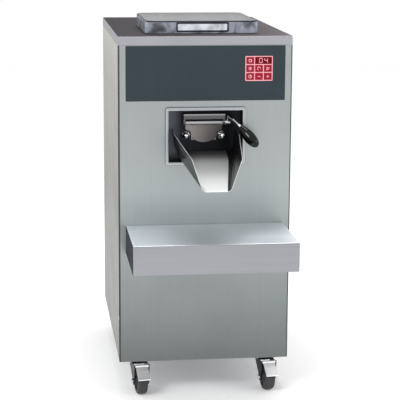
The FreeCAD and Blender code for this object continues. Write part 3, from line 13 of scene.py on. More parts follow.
import bmesh
import bpy
from mathutils import Matrix, Vector


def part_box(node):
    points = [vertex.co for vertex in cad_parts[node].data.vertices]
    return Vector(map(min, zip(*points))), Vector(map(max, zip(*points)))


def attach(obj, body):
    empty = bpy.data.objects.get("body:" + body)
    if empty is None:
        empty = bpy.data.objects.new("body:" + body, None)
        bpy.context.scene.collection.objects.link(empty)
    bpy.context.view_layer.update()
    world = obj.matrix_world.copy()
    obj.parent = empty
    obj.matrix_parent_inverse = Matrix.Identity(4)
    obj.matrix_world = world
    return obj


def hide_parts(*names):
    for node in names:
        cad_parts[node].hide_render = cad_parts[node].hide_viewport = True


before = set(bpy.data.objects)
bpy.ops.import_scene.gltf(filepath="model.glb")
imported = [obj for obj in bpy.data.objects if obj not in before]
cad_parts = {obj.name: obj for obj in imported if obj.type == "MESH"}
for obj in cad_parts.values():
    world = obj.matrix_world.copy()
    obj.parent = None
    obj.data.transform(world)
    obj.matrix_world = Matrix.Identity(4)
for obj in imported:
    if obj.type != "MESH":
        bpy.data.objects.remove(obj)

LOG = logging.getLogger("batch_freezer")
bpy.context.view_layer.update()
MM = 0.001
Point = tuple[float, float, float]
Colour = tuple[float, float, float]
Flat = tuple[float, float]
Sockets = Mapping[str, bpy.types.NodeSocket]


def linear(red: int, green: int, blue: int) -> Colour:
    """Turns a display colour into a linear one.

    Args:
        red: Red from 0 to 255.
        green: Green from 0 to 255.
        blue: Blue from 0 to 255.

    Returns:
        The linear colour that a shader socket takes.
    """
    def channel(value: int) -> float:
        """Linear value of one display channel."""
        share = value / 255
        return share / 12.92 if share <= 0.04045 else ((share + 0.055) / 1.055) ** 2.4
    return channel(red), channel(green), channel(blue)


# ---- finishes ------------------------------------------------------------------------------
class Grain(Enum):
    """Direction in which a sheet is brushed, as noise density along X, Y and Z."""

    UPRIGHT = (900.0, 900.0, 6.0)
    ACROSS = (6.0, 900.0, 900.0)
    FORWARD = (900.0, 6.0, 900.0)
    NONE = (160.0, 160.0, 160.0)


def fill_inputs(tree: bpy.types.NodeTree, node: bpy.types.Node, inputs: Mapping[str | int, object]) -> None:
    """Links each input whose value is a socket, and sets the others."""
    for label, value in inputs.items():
        if isinstance(value, bpy.types.NodeSocket):
            tree.links.new(value, node.inputs[label])
        else:
            node.inputs[label].default_value = value


def wire(tree: bpy.types.NodeTree, kind: str, inputs: Mapping[str | int, object], **settings: object
         ) -> bpy.types.Node:
    """Adds a shader node, sets it up and fills its inputs.

    Args:
        tree: Node tree that it joins.
        kind: Its type, without the leading ShaderNode.
        inputs: For each input, the socket that feeds it or its own value.
        settings: Values of the node's own properties.

    Returns:
        The node.
    """
    made = tree.nodes.new("ShaderNode" + kind)
    for name, value in settings.items():
        setattr(made, name, value)
    fill_inputs(tree, made, inputs)
    return made


def effect_group(name: str, inputs: Mapping[str, object], outputs: Sequence[str],
                 fill: Callable[[bpy.types.NodeTree, Sockets], Sockets]) -> bpy.types.NodeTree:
    """Makes a shader node group once, and hands out the same one after that.

    Args:
        name: Name of the group.
        inputs: Default of each input: a number, or a vector or None for a vector.
        outputs: Names of its outputs, each of them a mask or a height.
        fill: Function that adds the nodes and gives the socket behind each output.

    Returns:
        The node group.
    """
    found = bpy.data.node_groups.get(name)
    if found is not None:
        return found
    tree = bpy.data.node_groups.new(name, "ShaderNodeTree")
    for label, default in inputs.items():
        kind = "NodeSocketFloat" if isinstance(default, float) else "NodeSocketVector"
        socket = tree.interface.new_socket(label, in_out="INPUT", socket_type=kind)
        if default is not None:
            socket.default_value = default
    for label in outputs:
        tree.interface.new_socket(label, in_out="OUTPUT", socket_type="NodeSocketFloat")
    given = tree.nodes.new("NodeGroupInput").outputs
    fill_inputs(tree, tree.nodes.new("NodeGroupOutput"), fill(tree, given))
    return tree


def grain_group() -> bpy.types.NodeTree:
    """Group that gives brushed streaks: a tone mask and a height."""
    def fill(tree: bpy.types.NodeTree, given: Sockets) -> Sockets:
        """Mixes a fine and a broad streak noise."""
        stretch = wire(tree, "VectorMath", {0: given["Vector"], 1: given["Density"]}, operation="MULTIPLY")
        fine = wire(tree, "TexNoise", {"Vector": stretch.outputs[0], "Scale": 1.0, "Detail": 3.0})
        broad = wire(tree, "TexNoise", {"Vector": stretch.outputs[0], "Scale": 0.16, "Detail": 2.0})
        share = wire(tree, "Math", {0: fine.outputs["Fac"], 1: 0.55}, operation="MULTIPLY")
        blend = wire(tree, "Math", {0: broad.outputs["Fac"], 1: 0.45, 2: share.outputs[0]},
                     operation="MULTIPLY_ADD")
        return {"Tone": blend.outputs[0], "Height": fine.outputs["Fac"]}
    return effect_group("BrushedGrain", {"Vector": None, "Density": Grain.UPRIGHT.value},
                        ["Tone", "Height"], fill)


def smudge_group() -> bpy.types.NodeTree:
    """Group that gives soft wiped patches, as a mask from 0 to 1."""
    def fill(tree: bpy.types.NodeTree, given: Sockets) -> Sockets:
        """Puts one distorted noise through a soft ramp."""
        noise = wire(tree, "TexNoise", {"Vector": given["Vector"], "Scale": given["Scale"], "Detail": 4.0,
                                        "Distortion": 0.8})
        ramp = wire(tree, "MapRange", {"Value": noise.outputs["Fac"], "From Min": 0.35, "From Max": 0.68},
                    interpolation_type="SMOOTHSTEP")
        return {"Mask": ramp.outputs["Result"]}
    return effect_group("Smudges", {"Vector": None, "Scale": 6.0}, ["Mask"], fill)


def dust_group() -> bpy.types.NodeTree:
    """Group that gives dust on upward faces, as a mask from 0 to 1."""
    def fill(tree: bpy.types.NodeTree, given: Sockets) -> Sockets:
        """Multiplies how far a face looks up by a patchy noise."""
        split = wire(tree, "SeparateXYZ", {0: given["Normal"]})
        facing = wire(tree, "MapRange", {"Value": split.outputs["Z"], "From Min": 0.2})
        noise = wire(tree, "TexNoise", {"Vector": given["Vector"], "Scale": 60.0, "Detail": 5.0})
        both = wire(tree, "Math", {0: facing.outputs["Result"], 1: noise.outputs["Fac"]},
                    operation="MULTIPLY")
        amount = wire(tree, "Math", {0: both.outputs[0], 1: given["Amount"]}, operation="MULTIPLY")
        return {"Mask": amount.outputs[0]}
    return effect_group("Dust", {"Vector": None, "Normal": None, "Amount": 0.2}, ["Mask"], fill)


@dataclass(frozen=True)
class Finish:
    """What every finish shares: a name and a base colour."""

    name: str
    colour: Colour

    def material(self) -> bpy.types.Material:
        """Hands out the finish's material, and makes it the first time."""
        label = f"{self.name}_finish"
        found = bpy.data.materials.get(label)
        if found is not None:
            return found
        made = bpy.data.materials.new(label)
        made.use_nodes = True
        made.diffuse_color = (*self.colour, 1.0)
        self.dress(made.node_tree, made.node_tree.nodes["Principled BSDF"])
        return made

    def dress(self, tree: bpy.types.NodeTree, shader: bpy.types.ShaderNode) -> None:
        """Adds the finish's nodes; each kind of finish has its own.

        Args:
            tree: The material's node tree.
            shader: Its Principled shader.
        """
        raise NotImplementedError

    def place(self, tree: bpy.types.NodeTree) -> bpy.types.NodeSocket:
        """Object coordinates for the finish's patterns."""
        found = tree.nodes.get("place") or wire(tree, "TexCoord", {}, name="place")
        return found.outputs["Object"]

    def effect(self, tree: bpy.types.NodeTree, group: bpy.types.NodeTree, **values: object
               ) -> bpy.types.Node:
        """Places a shared effect with this finish's own values.

        Args:
            tree: The material's node tree.
            group: The effect's node group.
            values: Value or socket of each input but the coordinates.

        Returns:
            The group node.
        """
        return wire(tree, "Group", {"Vector": self.place(tree), **values}, node_tree=group)

    def spread(self, tree: bpy.types.NodeTree, mask: bpy.types.NodeSocket, low: float, high: float
               ) -> bpy.types.NodeSocket:
        """Spreads a mask from 0 to 1 between two values."""
        return wire(tree, "MapRange", {"To Min": low, "To Max": high, "Value": mask}).outputs["Result"]

    def tint(self, tree: bpy.types.NodeTree, amount: bpy.types.NodeSocket, contrast: float
             ) -> bpy.types.NodeSocket:
        """Varies the base colour by a mask, from darker to lighter by one contrast."""
        first, second = shaded(self.colour, 1.0 - contrast), shaded(self.colour, 1.0 + contrast)
        return self.blend(tree, amount, (*first, 1.0), (*second, 1.0))

    def blend(self, tree: bpy.types.NodeTree, amount: object, first: object, second: object,
              blend_type: str = "MIX") -> bpy.types.NodeSocket:
        """Mixes two colours, each of them a value or a socket.

        Args:
            tree: The material's node tree.
            amount: Share of the second colour.
            first: The first colour.
            second: The second colour.
            blend_type: Way in which they are mixed.

        Returns:
            The mixed colour.
        """
        return wire(tree, "Mix", {"A": first, "B": second, "Factor": amount}, data_type="RGBA",
                    blend_type=blend_type).outputs["Result"]

    def dusted(self, tree: bpy.types.NodeTree, base: bpy.types.NodeSocket, amount: float, dust: Colour
               ) -> bpy.types.NodeSocket:
        """Lays dust of one colour on the faces that look up."""
        normal = wire(tree, "NewGeometry", {}).outputs["Normal"]
        mask = self.effect(tree, dust_group(), Amount=amount, Normal=normal).outputs["Mask"]
        return self.blend(tree, mask, base, (*dust, 1.0))

    def relief(self, tree: bpy.types.NodeTree, height: bpy.types.NodeSocket, strength: float,
               distance: float) -> bpy.types.NodeSocket:
        """Turns a height into a normal through a bump."""
        return wire(tree, "Bump", {"Strength": strength, "Distance": distance, "Height": height}
                    ).outputs["Normal"]


def shaded(colour: Colour, factor: float) -> Colour:
    """A colour made lighter or darker by one factor."""
    red, green, blue = (min(1.0, value * factor) for value in colour)
    return red, green, blue


@dataclass(frozen=True)
class SheetFinish(Finish):
    """Brushed or satin metal with streaks, wiped patches, a trace of dust and painted light and shade along
    one axis.
    """

    grain: Grain = Grain.UPRIGHT
    roughness: float = 0.34
    contrast: float = 0.12
    smudges: float = 0.06
    dust: float = 0.1
    relief_depth: float = 0.05
    # Painted light and shade: stops of (place along the axis in metres, share of the colour kept).
    shade_stops: tuple[Flat, ...] = ()
    shade_axis: str = "Z"
    sheen: float = 1.0

    def dress(self, tree: bpy.types.NodeTree, shader: bpy.types.ShaderNode) -> None:
        """Streaks tint and roughen the metal, patches dull it, stops paint shade, dust lies on top."""
        streaks = self.effect(tree, grain_group(), Density=self.grain.value)
        patches = self.effect(tree, smudge_group(), Scale=5.0)
        tone = streaks.outputs["Tone"]
        base = self.tint(tree, self.spread(tree, tone, 0.0, 1.0), self.contrast)
        if self.shade_stops:
            base = self.painted_shade(tree, base)
        rough = wire(tree, "Math", {
            0: self.spread(tree, tone, self.roughness * 0.85, self.roughness * 1.15),
            1: self.spread(tree, patches.outputs["Mask"], 0.0, self.smudges)}, operation="ADD")
        fill_inputs(tree, shader, {
            "Base Color": self.dusted(tree, base, self.dust, (0.55, 0.54, 0.52)),
            "Metallic": 1.0,
            "Specular Tint": (self.sheen, self.sheen, self.sheen, 1.0),
            "Roughness": rough.outputs[0],
            "Normal": self.relief(tree, streaks.outputs["Height"], self.relief_depth, 0.0004)})

    def painted_shade(self, tree: bpy.types.NodeTree, base: bpy.types.NodeSocket) -> bpy.types.NodeSocket:
        """Paints light and shade on the sheet: a different share of its colour at each place along one axis.

        Args:
            tree: The material's node tree.
            base: The sheet's own colour.

        Returns:
            The colour with its painted light and shade.
        """
        split = wire(tree, "SeparateXYZ", {0: self.place(tree)})
        first, last = self.shade_stops[0][0], self.shade_stops[-1][0]
        along = wire(tree, "MapRange", {"Value": split.outputs[self.shade_axis], "From Min": first,
                                        "From Max": last})
        ramp = wire(tree, "ValToRGB", {"Fac": along.outputs["Result"]})
        stops = ramp.color_ramp.elements
        for position, tone in self.shade_stops[1:-1]:
            stops.new((position - first) / (last - first)).color = (tone, tone, tone, 1.0)
        stops[0].color = (*[self.shade_stops[0][1]] * 3, 1.0)
        stops[len(stops) - 1].color = (*[self.shade_stops[-1][1]] * 3, 1.0)
        return self.blend(tree, 1.0, base, ramp.outputs["Color"], "MULTIPLY")


@dataclass(frozen=True)
class PlasticFinish(Finish):
    """Moulded plastic, printed film, rubber or paint with a fine surface and soft patches."""

    roughness: float = 0.45
    contrast: float = 0.08
    texture_scale: float = 900.0
    texture_depth: float = 0.05
    dust: float = 0.05
    emission: float = 0.0
    specular: float = 0.5

    def dress(self, tree: bpy.types.NodeTree, shader: bpy.types.ShaderNode) -> None:
        """A fine noise gives the skin, a broad one its patches."""
        mask = self.effect(tree, smudge_group(), Scale=9.0).outputs["Mask"]
        base = self.tint(tree, mask, self.contrast)
        skin = wire(tree, "TexNoise", {"Vector": self.place(tree), "Scale": self.texture_scale,
                                       "Detail": 2.0})
        fill_inputs(tree, shader, {
            "Base Color": self.dusted(tree, base, self.dust, (0.5, 0.49, 0.47)),
            "Roughness": self.spread(tree, mask, self.roughness * 0.9, self.roughness * 1.1),
            "Normal": self.relief(tree, skin.outputs["Fac"], self.texture_depth, 0.0003),
            "Specular IOR Level": self.specular})
        if self.emission:
            fill_inputs(tree, shader, {"Emission Color": base, "Emission Strength": self.emission})


@dataclass(frozen=True)
class ClearFinish(Finish):
    """Clear moulded plastic that shows what lies behind it."""

    roughness: float = 0.04
    transmission: float = 0.92
    streaks: float = 0.05
    specular: float = 0.5
    cover: float = 1.0

    def dress(self, tree: bpy.types.NodeTree, shader: bpy.types.ShaderNode) -> None:
        """Fine wipe marks roughen an otherwise clear body."""
        mask = self.effect(tree, smudge_group(), Scale=24.0).outputs["Mask"]
        streaked = shaded(self.colour, 1.0 - self.streaks)
        fill_inputs(tree, shader, {
            "Base Color": self.blend(tree, mask, (*self.colour, 1.0), (*streaked, 1.0)),
            "Roughness": self.spread(tree, mask, self.roughness, self.roughness * 2.5),
            "Transmission Weight": self.transmission,
            "Specular IOR Level": self.specular,
            "Alpha": self.cover,
            "IOR": 1.49})


class Finishes:
    """The finishes of this machine, by the name of what they cover."""

    # Painted reflection: its stops darken the front steel towards the bottom.
    FRONT = SheetFinish("brushed_front", linear(178, 184, 184), roughness=0.38,
                        shade_stops=((0.12, 0.38), (0.2, 0.45), (0.33, 0.57), (0.48, 0.76), (0.62, 0.88),
                               (0.82, 0.84), (1.03, 0.84)))
    # Painted shade: a dark copy of the front steel on the rolled side folds of the front sheet.
    FOLD_SHADE = SheetFinish("front_fold_shade", linear(80, 80, 84), roughness=0.5, sheen=0.0)
    # Painted shade: its stops darken the side steel towards the bottom.
    SIDE = SheetFinish("brushed_side", linear(206, 204, 198), roughness=0.42, contrast=0.1,
                       shade_stops=((0.15, 0.33), (0.6, 0.39), (0.9, 0.66), (1.05, 0.98)))
    # Painted shade: the cover top is a darker copy of the cover steel, lightened towards +X as a painted
    # reflection.
    COVER_TOP_SHADED = SheetFinish("cover_top_shaded", linear(135, 129, 134), grain=Grain.FORWARD, roughness=0.42,
                            sheen=0.28, dust=0.0, shade_axis="X",
                            shade_stops=((-0.25, 0.5), (-0.12, 0.55), (0.16, 0.75), (0.25, 1.0)))
    # Painted light: the lighter copy of the cover steel on its folded edges.
    COVER_EDGE_LIT = SheetFinish("cover_edge_lit", linear(174, 174, 180), grain=Grain.ACROSS, roughness=0.34)
    SHELF = SheetFinish("brushed_shelf", linear(151, 153, 157), grain=Grain.ACROSS, roughness=0.33)
    # Painted light: a lighter copy of the shelf steel on its top.
    SHELF_TOP_LIT = SheetFinish("shelf_top_lit", linear(236, 242, 254), grain=Grain.ACROSS, roughness=0.48)
    # Painted shade: a darker copy of the shelf steel on its ends.
    SHELF_END_SHADED = SheetFinish("shelf_end_shaded", linear(104, 106, 112), roughness=0.42, sheen=0.1)
    VESSEL = SheetFinish("vessel_steel", linear(170, 172, 176), grain=Grain.ACROSS, roughness=0.3,
                         contrast=0.06)
    # Painted shade: a dark copy of the steel for the hatch recess and the chute's back flange, lighter at the
    # recess's left edge.
    RECESS_SHADED = SheetFinish("recess_shaded_steel", linear(96, 98, 106), roughness=0.4, contrast=0.45, shade_axis="X",
                         shade_stops=((-0.106, 1.0), (-0.084, 0.75), (-0.064, 0.22), (0.02, 0.16), (0.07, 0.1),
                                (0.106, 0.3)))
    LIP = SheetFinish("lip_steel", linear(176, 180, 183), roughness=0.3)
    # Painted highlight: a bright copy of the lip steel on the inner roll along the top.
    LIP_HIGHLIGHT = SheetFinish("lip_highlight", linear(238, 242, 246), roughness=0.2)
    # Painted shade: a dark copy of the lip steel on the other rolls.
    LIP_SHADE = SheetFinish("lip_shade", linear(48, 50, 56), roughness=0.3, sheen=0.3)
    # Painted shade: its stops darken the gate housing below 0.83 m, leaving a bright band as painted light on
    # its bar.
    HOUSING_SHADED = SheetFinish("gate_housing", linear(176, 176, 180), grain=Grain.ACROSS, roughness=0.3,
                          contrast=0.1, shade_stops=((0.8, 0.3), (0.829, 0.3), (0.833, 1.0), (0.845, 1.0)))
    SATIN = SheetFinish("satin_steel", linear(188, 188, 190), grain=Grain.NONE, roughness=0.26,
                        contrast=0.05)
    POLISHED = SheetFinish("polished_steel", linear(222, 224, 226), grain=Grain.NONE, roughness=0.09,
                           contrast=0.03, smudges=0.04, relief_depth=0.01, dust=0.02)
    # Painted light and shade: a bright copy of the trough steel on its floor, darkened towards the hatch by
    # its stops.
    CHUTE = SheetFinish("chute_floor", linear(230, 232, 231), grain=Grain.FORWARD, roughness=0.5,
                        contrast=0.04, smudges=0.05, relief_depth=0.02, dust=0.03, shade_axis="Y",
                        shade_stops=((-0.505, 1.0), (-0.31, 1.0), (-0.285, 0.85), (-0.26, 0.5), (-0.235, 0.25),
                               (-0.2, 0.1)))
    # Painted shade: a dark copy of the trough steel on its inner sides, darker towards the hatch.
    CHUTE_SIDE_SHADED = SheetFinish("chute_side_shaded", linear(104, 110, 114), grain=Grain.FORWARD, roughness=0.22,
                             contrast=0.06, dust=0.03, shade_axis="Y",
                             shade_stops=((-0.505, 1.0), (-0.36, 0.6), (-0.27, 0.25), (-0.2, 0.12)))
    # Painted shade: a dark copy of the trough steel on its outside, darker towards the hatch.
    CHUTE_OUTSIDE_SHADED = SheetFinish("chute_outside_shaded", linear(106, 112, 114), grain=Grain.FORWARD,
                                roughness=0.26, contrast=0.05, sheen=0.6, shade_axis="Y",
                                shade_stops=((-0.505, 0.9), (-0.4, 0.7), (-0.3, 0.4), (-0.2, 0.2)))
    # Painted shade: its stops darken the gate plate towards +X.
    GATE_SHADED = SheetFinish("gate_steel", linear(148, 142, 140), roughness=0.3, contrast=0.2, shade_axis="X",
                       shade_stops=((-0.054, 1.0), (-0.025, 0.9), (0.01, 0.6), (0.054, 0.3)))
    FRAME = SheetFinish("galvanized_steel", linear(160, 164, 168), grain=Grain.NONE, roughness=0.45,
                        contrast=0.2)
    PEDAL = SheetFinish("pedal_zinc", linear(246, 247, 250), grain=Grain.NONE, roughness=0.4, contrast=0.1)
    ZINC = SheetFinish("bright_zinc", linear(214, 216, 220), grain=Grain.NONE, roughness=0.22,
                       contrast=0.08)
    COPPER = SheetFinish("copper_tube", linear(200, 128, 92), grain=Grain.NONE, roughness=0.28)
    BRASS = SheetFinish("turned_brass", linear(206, 176, 112), grain=Grain.NONE, roughness=0.26)
    CASTING = SheetFinish("cast_housing", linear(110, 110, 114), grain=Grain.NONE, roughness=0.6,
                          contrast=0.25)
    FASCIA = PlasticFinish("fascia_film", linear(53, 61, 66), roughness=0.55, contrast=0.03,
                           texture_depth=0.03, specular=0.0, dust=0.02)
    KEY = PlasticFinish("key_red", linear(138, 24, 42), roughness=0.4, contrast=0.05, specular=0.15,
                        texture_depth=0.01)
    KEY_GRID = PlasticFinish("key_grid", linear(232, 160, 168), roughness=0.4, contrast=0.03,
                             texture_depth=0.01)
    KEY_MARK = PlasticFinish("key_mark", linear(240, 176, 182), contrast=0.02, texture_depth=0.01)
    DISPLAY = PlasticFinish("display_pane", linear(96, 6, 16), roughness=0.2, contrast=0.1, specular=0.1,
                            texture_depth=0.0)
    DIGIT = PlasticFinish("display_digit", linear(224, 148, 160), roughness=0.4, contrast=0.02,
                          emission=0.1)
    RUBBER = PlasticFinish("black_rubber", linear(38, 38, 40), roughness=0.62, contrast=0.2,
                           texture_depth=0.12)
    TREAD = PlasticFinish("wheel_tread", linear(52, 52, 54), roughness=0.66, contrast=0.2,
                          texture_depth=0.2, dust=0.2)
    HUB = PlasticFinish("wheel_hub", linear(70, 70, 74), contrast=0.1, dust=0.2)
    GRIP = PlasticFinish("grip_black", linear(4, 5, 7), roughness=0.05, contrast=0.1, specular=0.3,
                         dust=0.0, texture_depth=0.0)
    BLACK_PAINT = PlasticFinish("black_paint", linear(22, 22, 26), roughness=0.36, contrast=0.12,
                                specular=0.2, texture_scale=420.0, texture_depth=0.12, dust=0.1)
    MOTOR = PlasticFinish("motor_enamel", linear(72, 92, 112), roughness=0.4, texture_scale=420.0)
    FOAM = PlasticFinish("foam", linear(222, 210, 170), roughness=0.9, texture_scale=260.0,
                         texture_depth=0.4)
    BLADE = PlasticFinish("blade_plastic", linear(236, 236, 230), roughness=0.4)
    GREY_PLASTIC = PlasticFinish("gland_plastic", linear(120, 124, 128), roughness=0.5)
    # Painted shade: dark bars on the screw heads stand for the shade in their cross recesses.
    CROSS_SHADE = PlasticFinish("screw_recess_shade", linear(40, 40, 42), roughness=0.6)
    FLOOR = PlasticFinish("studio_floor", linear(250, 250, 250), roughness=0.8, contrast=0.0,
                          texture_depth=0.0, dust=0.0, emission=0.1)
    LID = ClearFinish("clear_lid_plastic", linear(84, 88, 98), transmission=0.7, cover=0.66)
    # Painted reflection: a lighter, less clear copy of the lid plastic on its upright walls.
    LID_WALL_LIT = ClearFinish("clear_lid_wall_lit", linear(196, 202, 218), roughness=0.12, transmission=0.45,
                           streaks=0.85)
    # Painted shade: an opaque dark copy of the lid plastic on its rolled top edge and its front frame.
    LID_EDGE_SHADE = ClearFinish("clear_lid_edge_shade", linear(34, 36, 46), roughness=0.2, transmission=0.0,
                           specular=0.1)
    LID_FRAME = ClearFinish("clear_lid_frame", linear(232, 236, 246), roughness=0.3, transmission=0.05,
                            streaks=0.45)


# ---- shapes --------------------------------------------------------------------------------
def mm(*values: float) -> tuple[float, ...]:
    """Turns millimetres into metres."""
    return tuple(value * MM for value in values)


def axis_matrix(origin: Sequence[float], along: Sequence[float]) -> Matrix:
    """Matrix that carries +Z at the origin to a direction at a point."""
    turn = Vector((0.0, 0.0, 1.0)).rotation_difference(Vector(along))
    return Matrix.Translation(Vector(origin)) @ turn.to_matrix().to_4x4()


def box_mesh(low: Sequence[float], high: Sequence[float]) -> bmesh.types.BMesh:
    """A plain box between two corners, as the start of a piece."""
    first, last = Vector(low), Vector(high)
    bm = bmesh.new()
    bmesh.ops.create_cube(bm, size=1.0, matrix=Matrix.Translation((first + last) / 2)
                          @ Matrix.Diagonal((*(last - first), 1.0)))
    bm.normal_update()
    return bm


def arc(across: float, upward: float, radius: float, degrees: Iterable[float]) -> list[Flat]:
    """Flat points on a circle about a centre, one for each angle."""
    return [(across + radius * math.cos(math.radians(angle)), upward + radius * math.sin(math.radians(angle)))
            for angle in degrees]


def round_edges(bm: bmesh.types.BMesh, edges: Iterable[bmesh.types.BMEdge], width: float,
                segments: int) -> None:
    """Rounds edges by a bevel of one width."""
    bmesh.ops.bevel(bm, geom=list(edges), offset=width, offset_type="OFFSET", segments=segments, profile=0.5,
                    affect="EDGES", clamp_overlap=True, material=-1)
    bm.normal_update()


def cut_window(bm: bmesh.types.BMesh, normal: Sequence[float],
               spans: Sequence[tuple[int, float, float]]) -> None:
    """Cuts a rectangular window out of a sheet that has no thickness yet.

    Args:
        bm: The sheet.
        normal: Direction that the sheet faces where the window is.
        spans: For each of two axes, its number and the window's two sides.
    """
    for number, low, high in spans:
        for value in (low, high):
            plane = [0.0, 0.0, 0.0]
            plane[number] = 1.0
            place = [0.0, 0.0, 0.0]
            place[number] = value
            bmesh.ops.bisect_plane(bm, geom=bm.verts[:] + bm.edges[:] + bm.faces[:], plane_co=place,
                                   plane_no=plane)
    bm.normal_update()
    gone = [face for face in bm.faces if face.normal.dot(Vector(normal)) > 0.9
            and all(low < face.calc_center_median()[number] < high for number, low, high in spans)]
    bmesh.ops.delete(bm, geom=gone, context="FACES")


def folded_strip(path: Sequence[Sequence[float]], run: Sequence[float], bend: float, segments: int = 4
                 ) -> bmesh.types.BMesh:
    """A sheet without thickness, folded along a path and pushed along a run.

    Args:
        path: Corners of the folds.
        run: The sheet's width as a vector.
        bend: Radius of the folds.
        segments: Facets of a fold.

    Returns:
        The sheet.
    """
    bm = bmesh.new()
    verts = [bm.verts.new(point) for point in path]
    edges = [bm.edges.new(pair) for pair in zip(verts, verts[1:])]
    grown = bmesh.ops.extrude_edge_only(bm, edges=edges)
    moved = [item for item in grown["geom"] if isinstance(item, bmesh.types.BMVert)]
    bmesh.ops.translate(bm, verts=moved, vec=Vector(run))
    folds = [edge for edge in bm.edges if len(edge.link_faces) == 2]
    round_edges(bm, folds, bend, segments)
    return bm


def open_box(low: Sequence[float], high: Sequence[float], side: Sequence[float], bend: float,
             segments: int = 4) -> bmesh.types.BMesh:
    """A sheet box without thickness, open on one side, its bends rounded.

    Args:
        low: Lowest corner.
        high: Highest corner.
        side: Direction of the open side.
        bend: Radius of the bends.
        segments: Facets of each bend.

    Returns:
        The sheet.
    """
    bm = box_mesh(low, high)
    away = Vector(side)
    lid = [face for face in bm.faces if face.normal.dot(away) > 0.9]
    rim = {edge for face in lid for edge in face.edges}
    bends = [edge for edge in bm.edges if edge not in rim]
    bmesh.ops.delete(bm, geom=lid, context="FACES_ONLY")
    round_edges(bm, bends, bend, segments)
    return bm


def thicken(bm: bmesh.types.BMesh, thickness: float) -> bmesh.types.BMesh:
    """Gives a sheet its thickness, away from the side that it faces."""
    bmesh.ops.solidify(bm, geom=bm.faces[:], thickness=thickness)
    return bm


def rounded_outline(half_x: float, half_y: float, radius: float, steps: int = 8) -> list[Flat]:
    """Points of a rounded rectangle about the middle, anticlockwise."""
    points = []
    for corner in range(4):
        across = 1 if corner in (0, 3) else -1
        upward = 1 if corner in (0, 1) else -1
        for step in range(steps + 1):
            angle = math.pi / 2 * (corner + step / steps)
            points.append((across * (half_x - radius) + radius * math.cos(angle),
                           upward * (half_y - radius) + radius * math.sin(angle)))
    return points


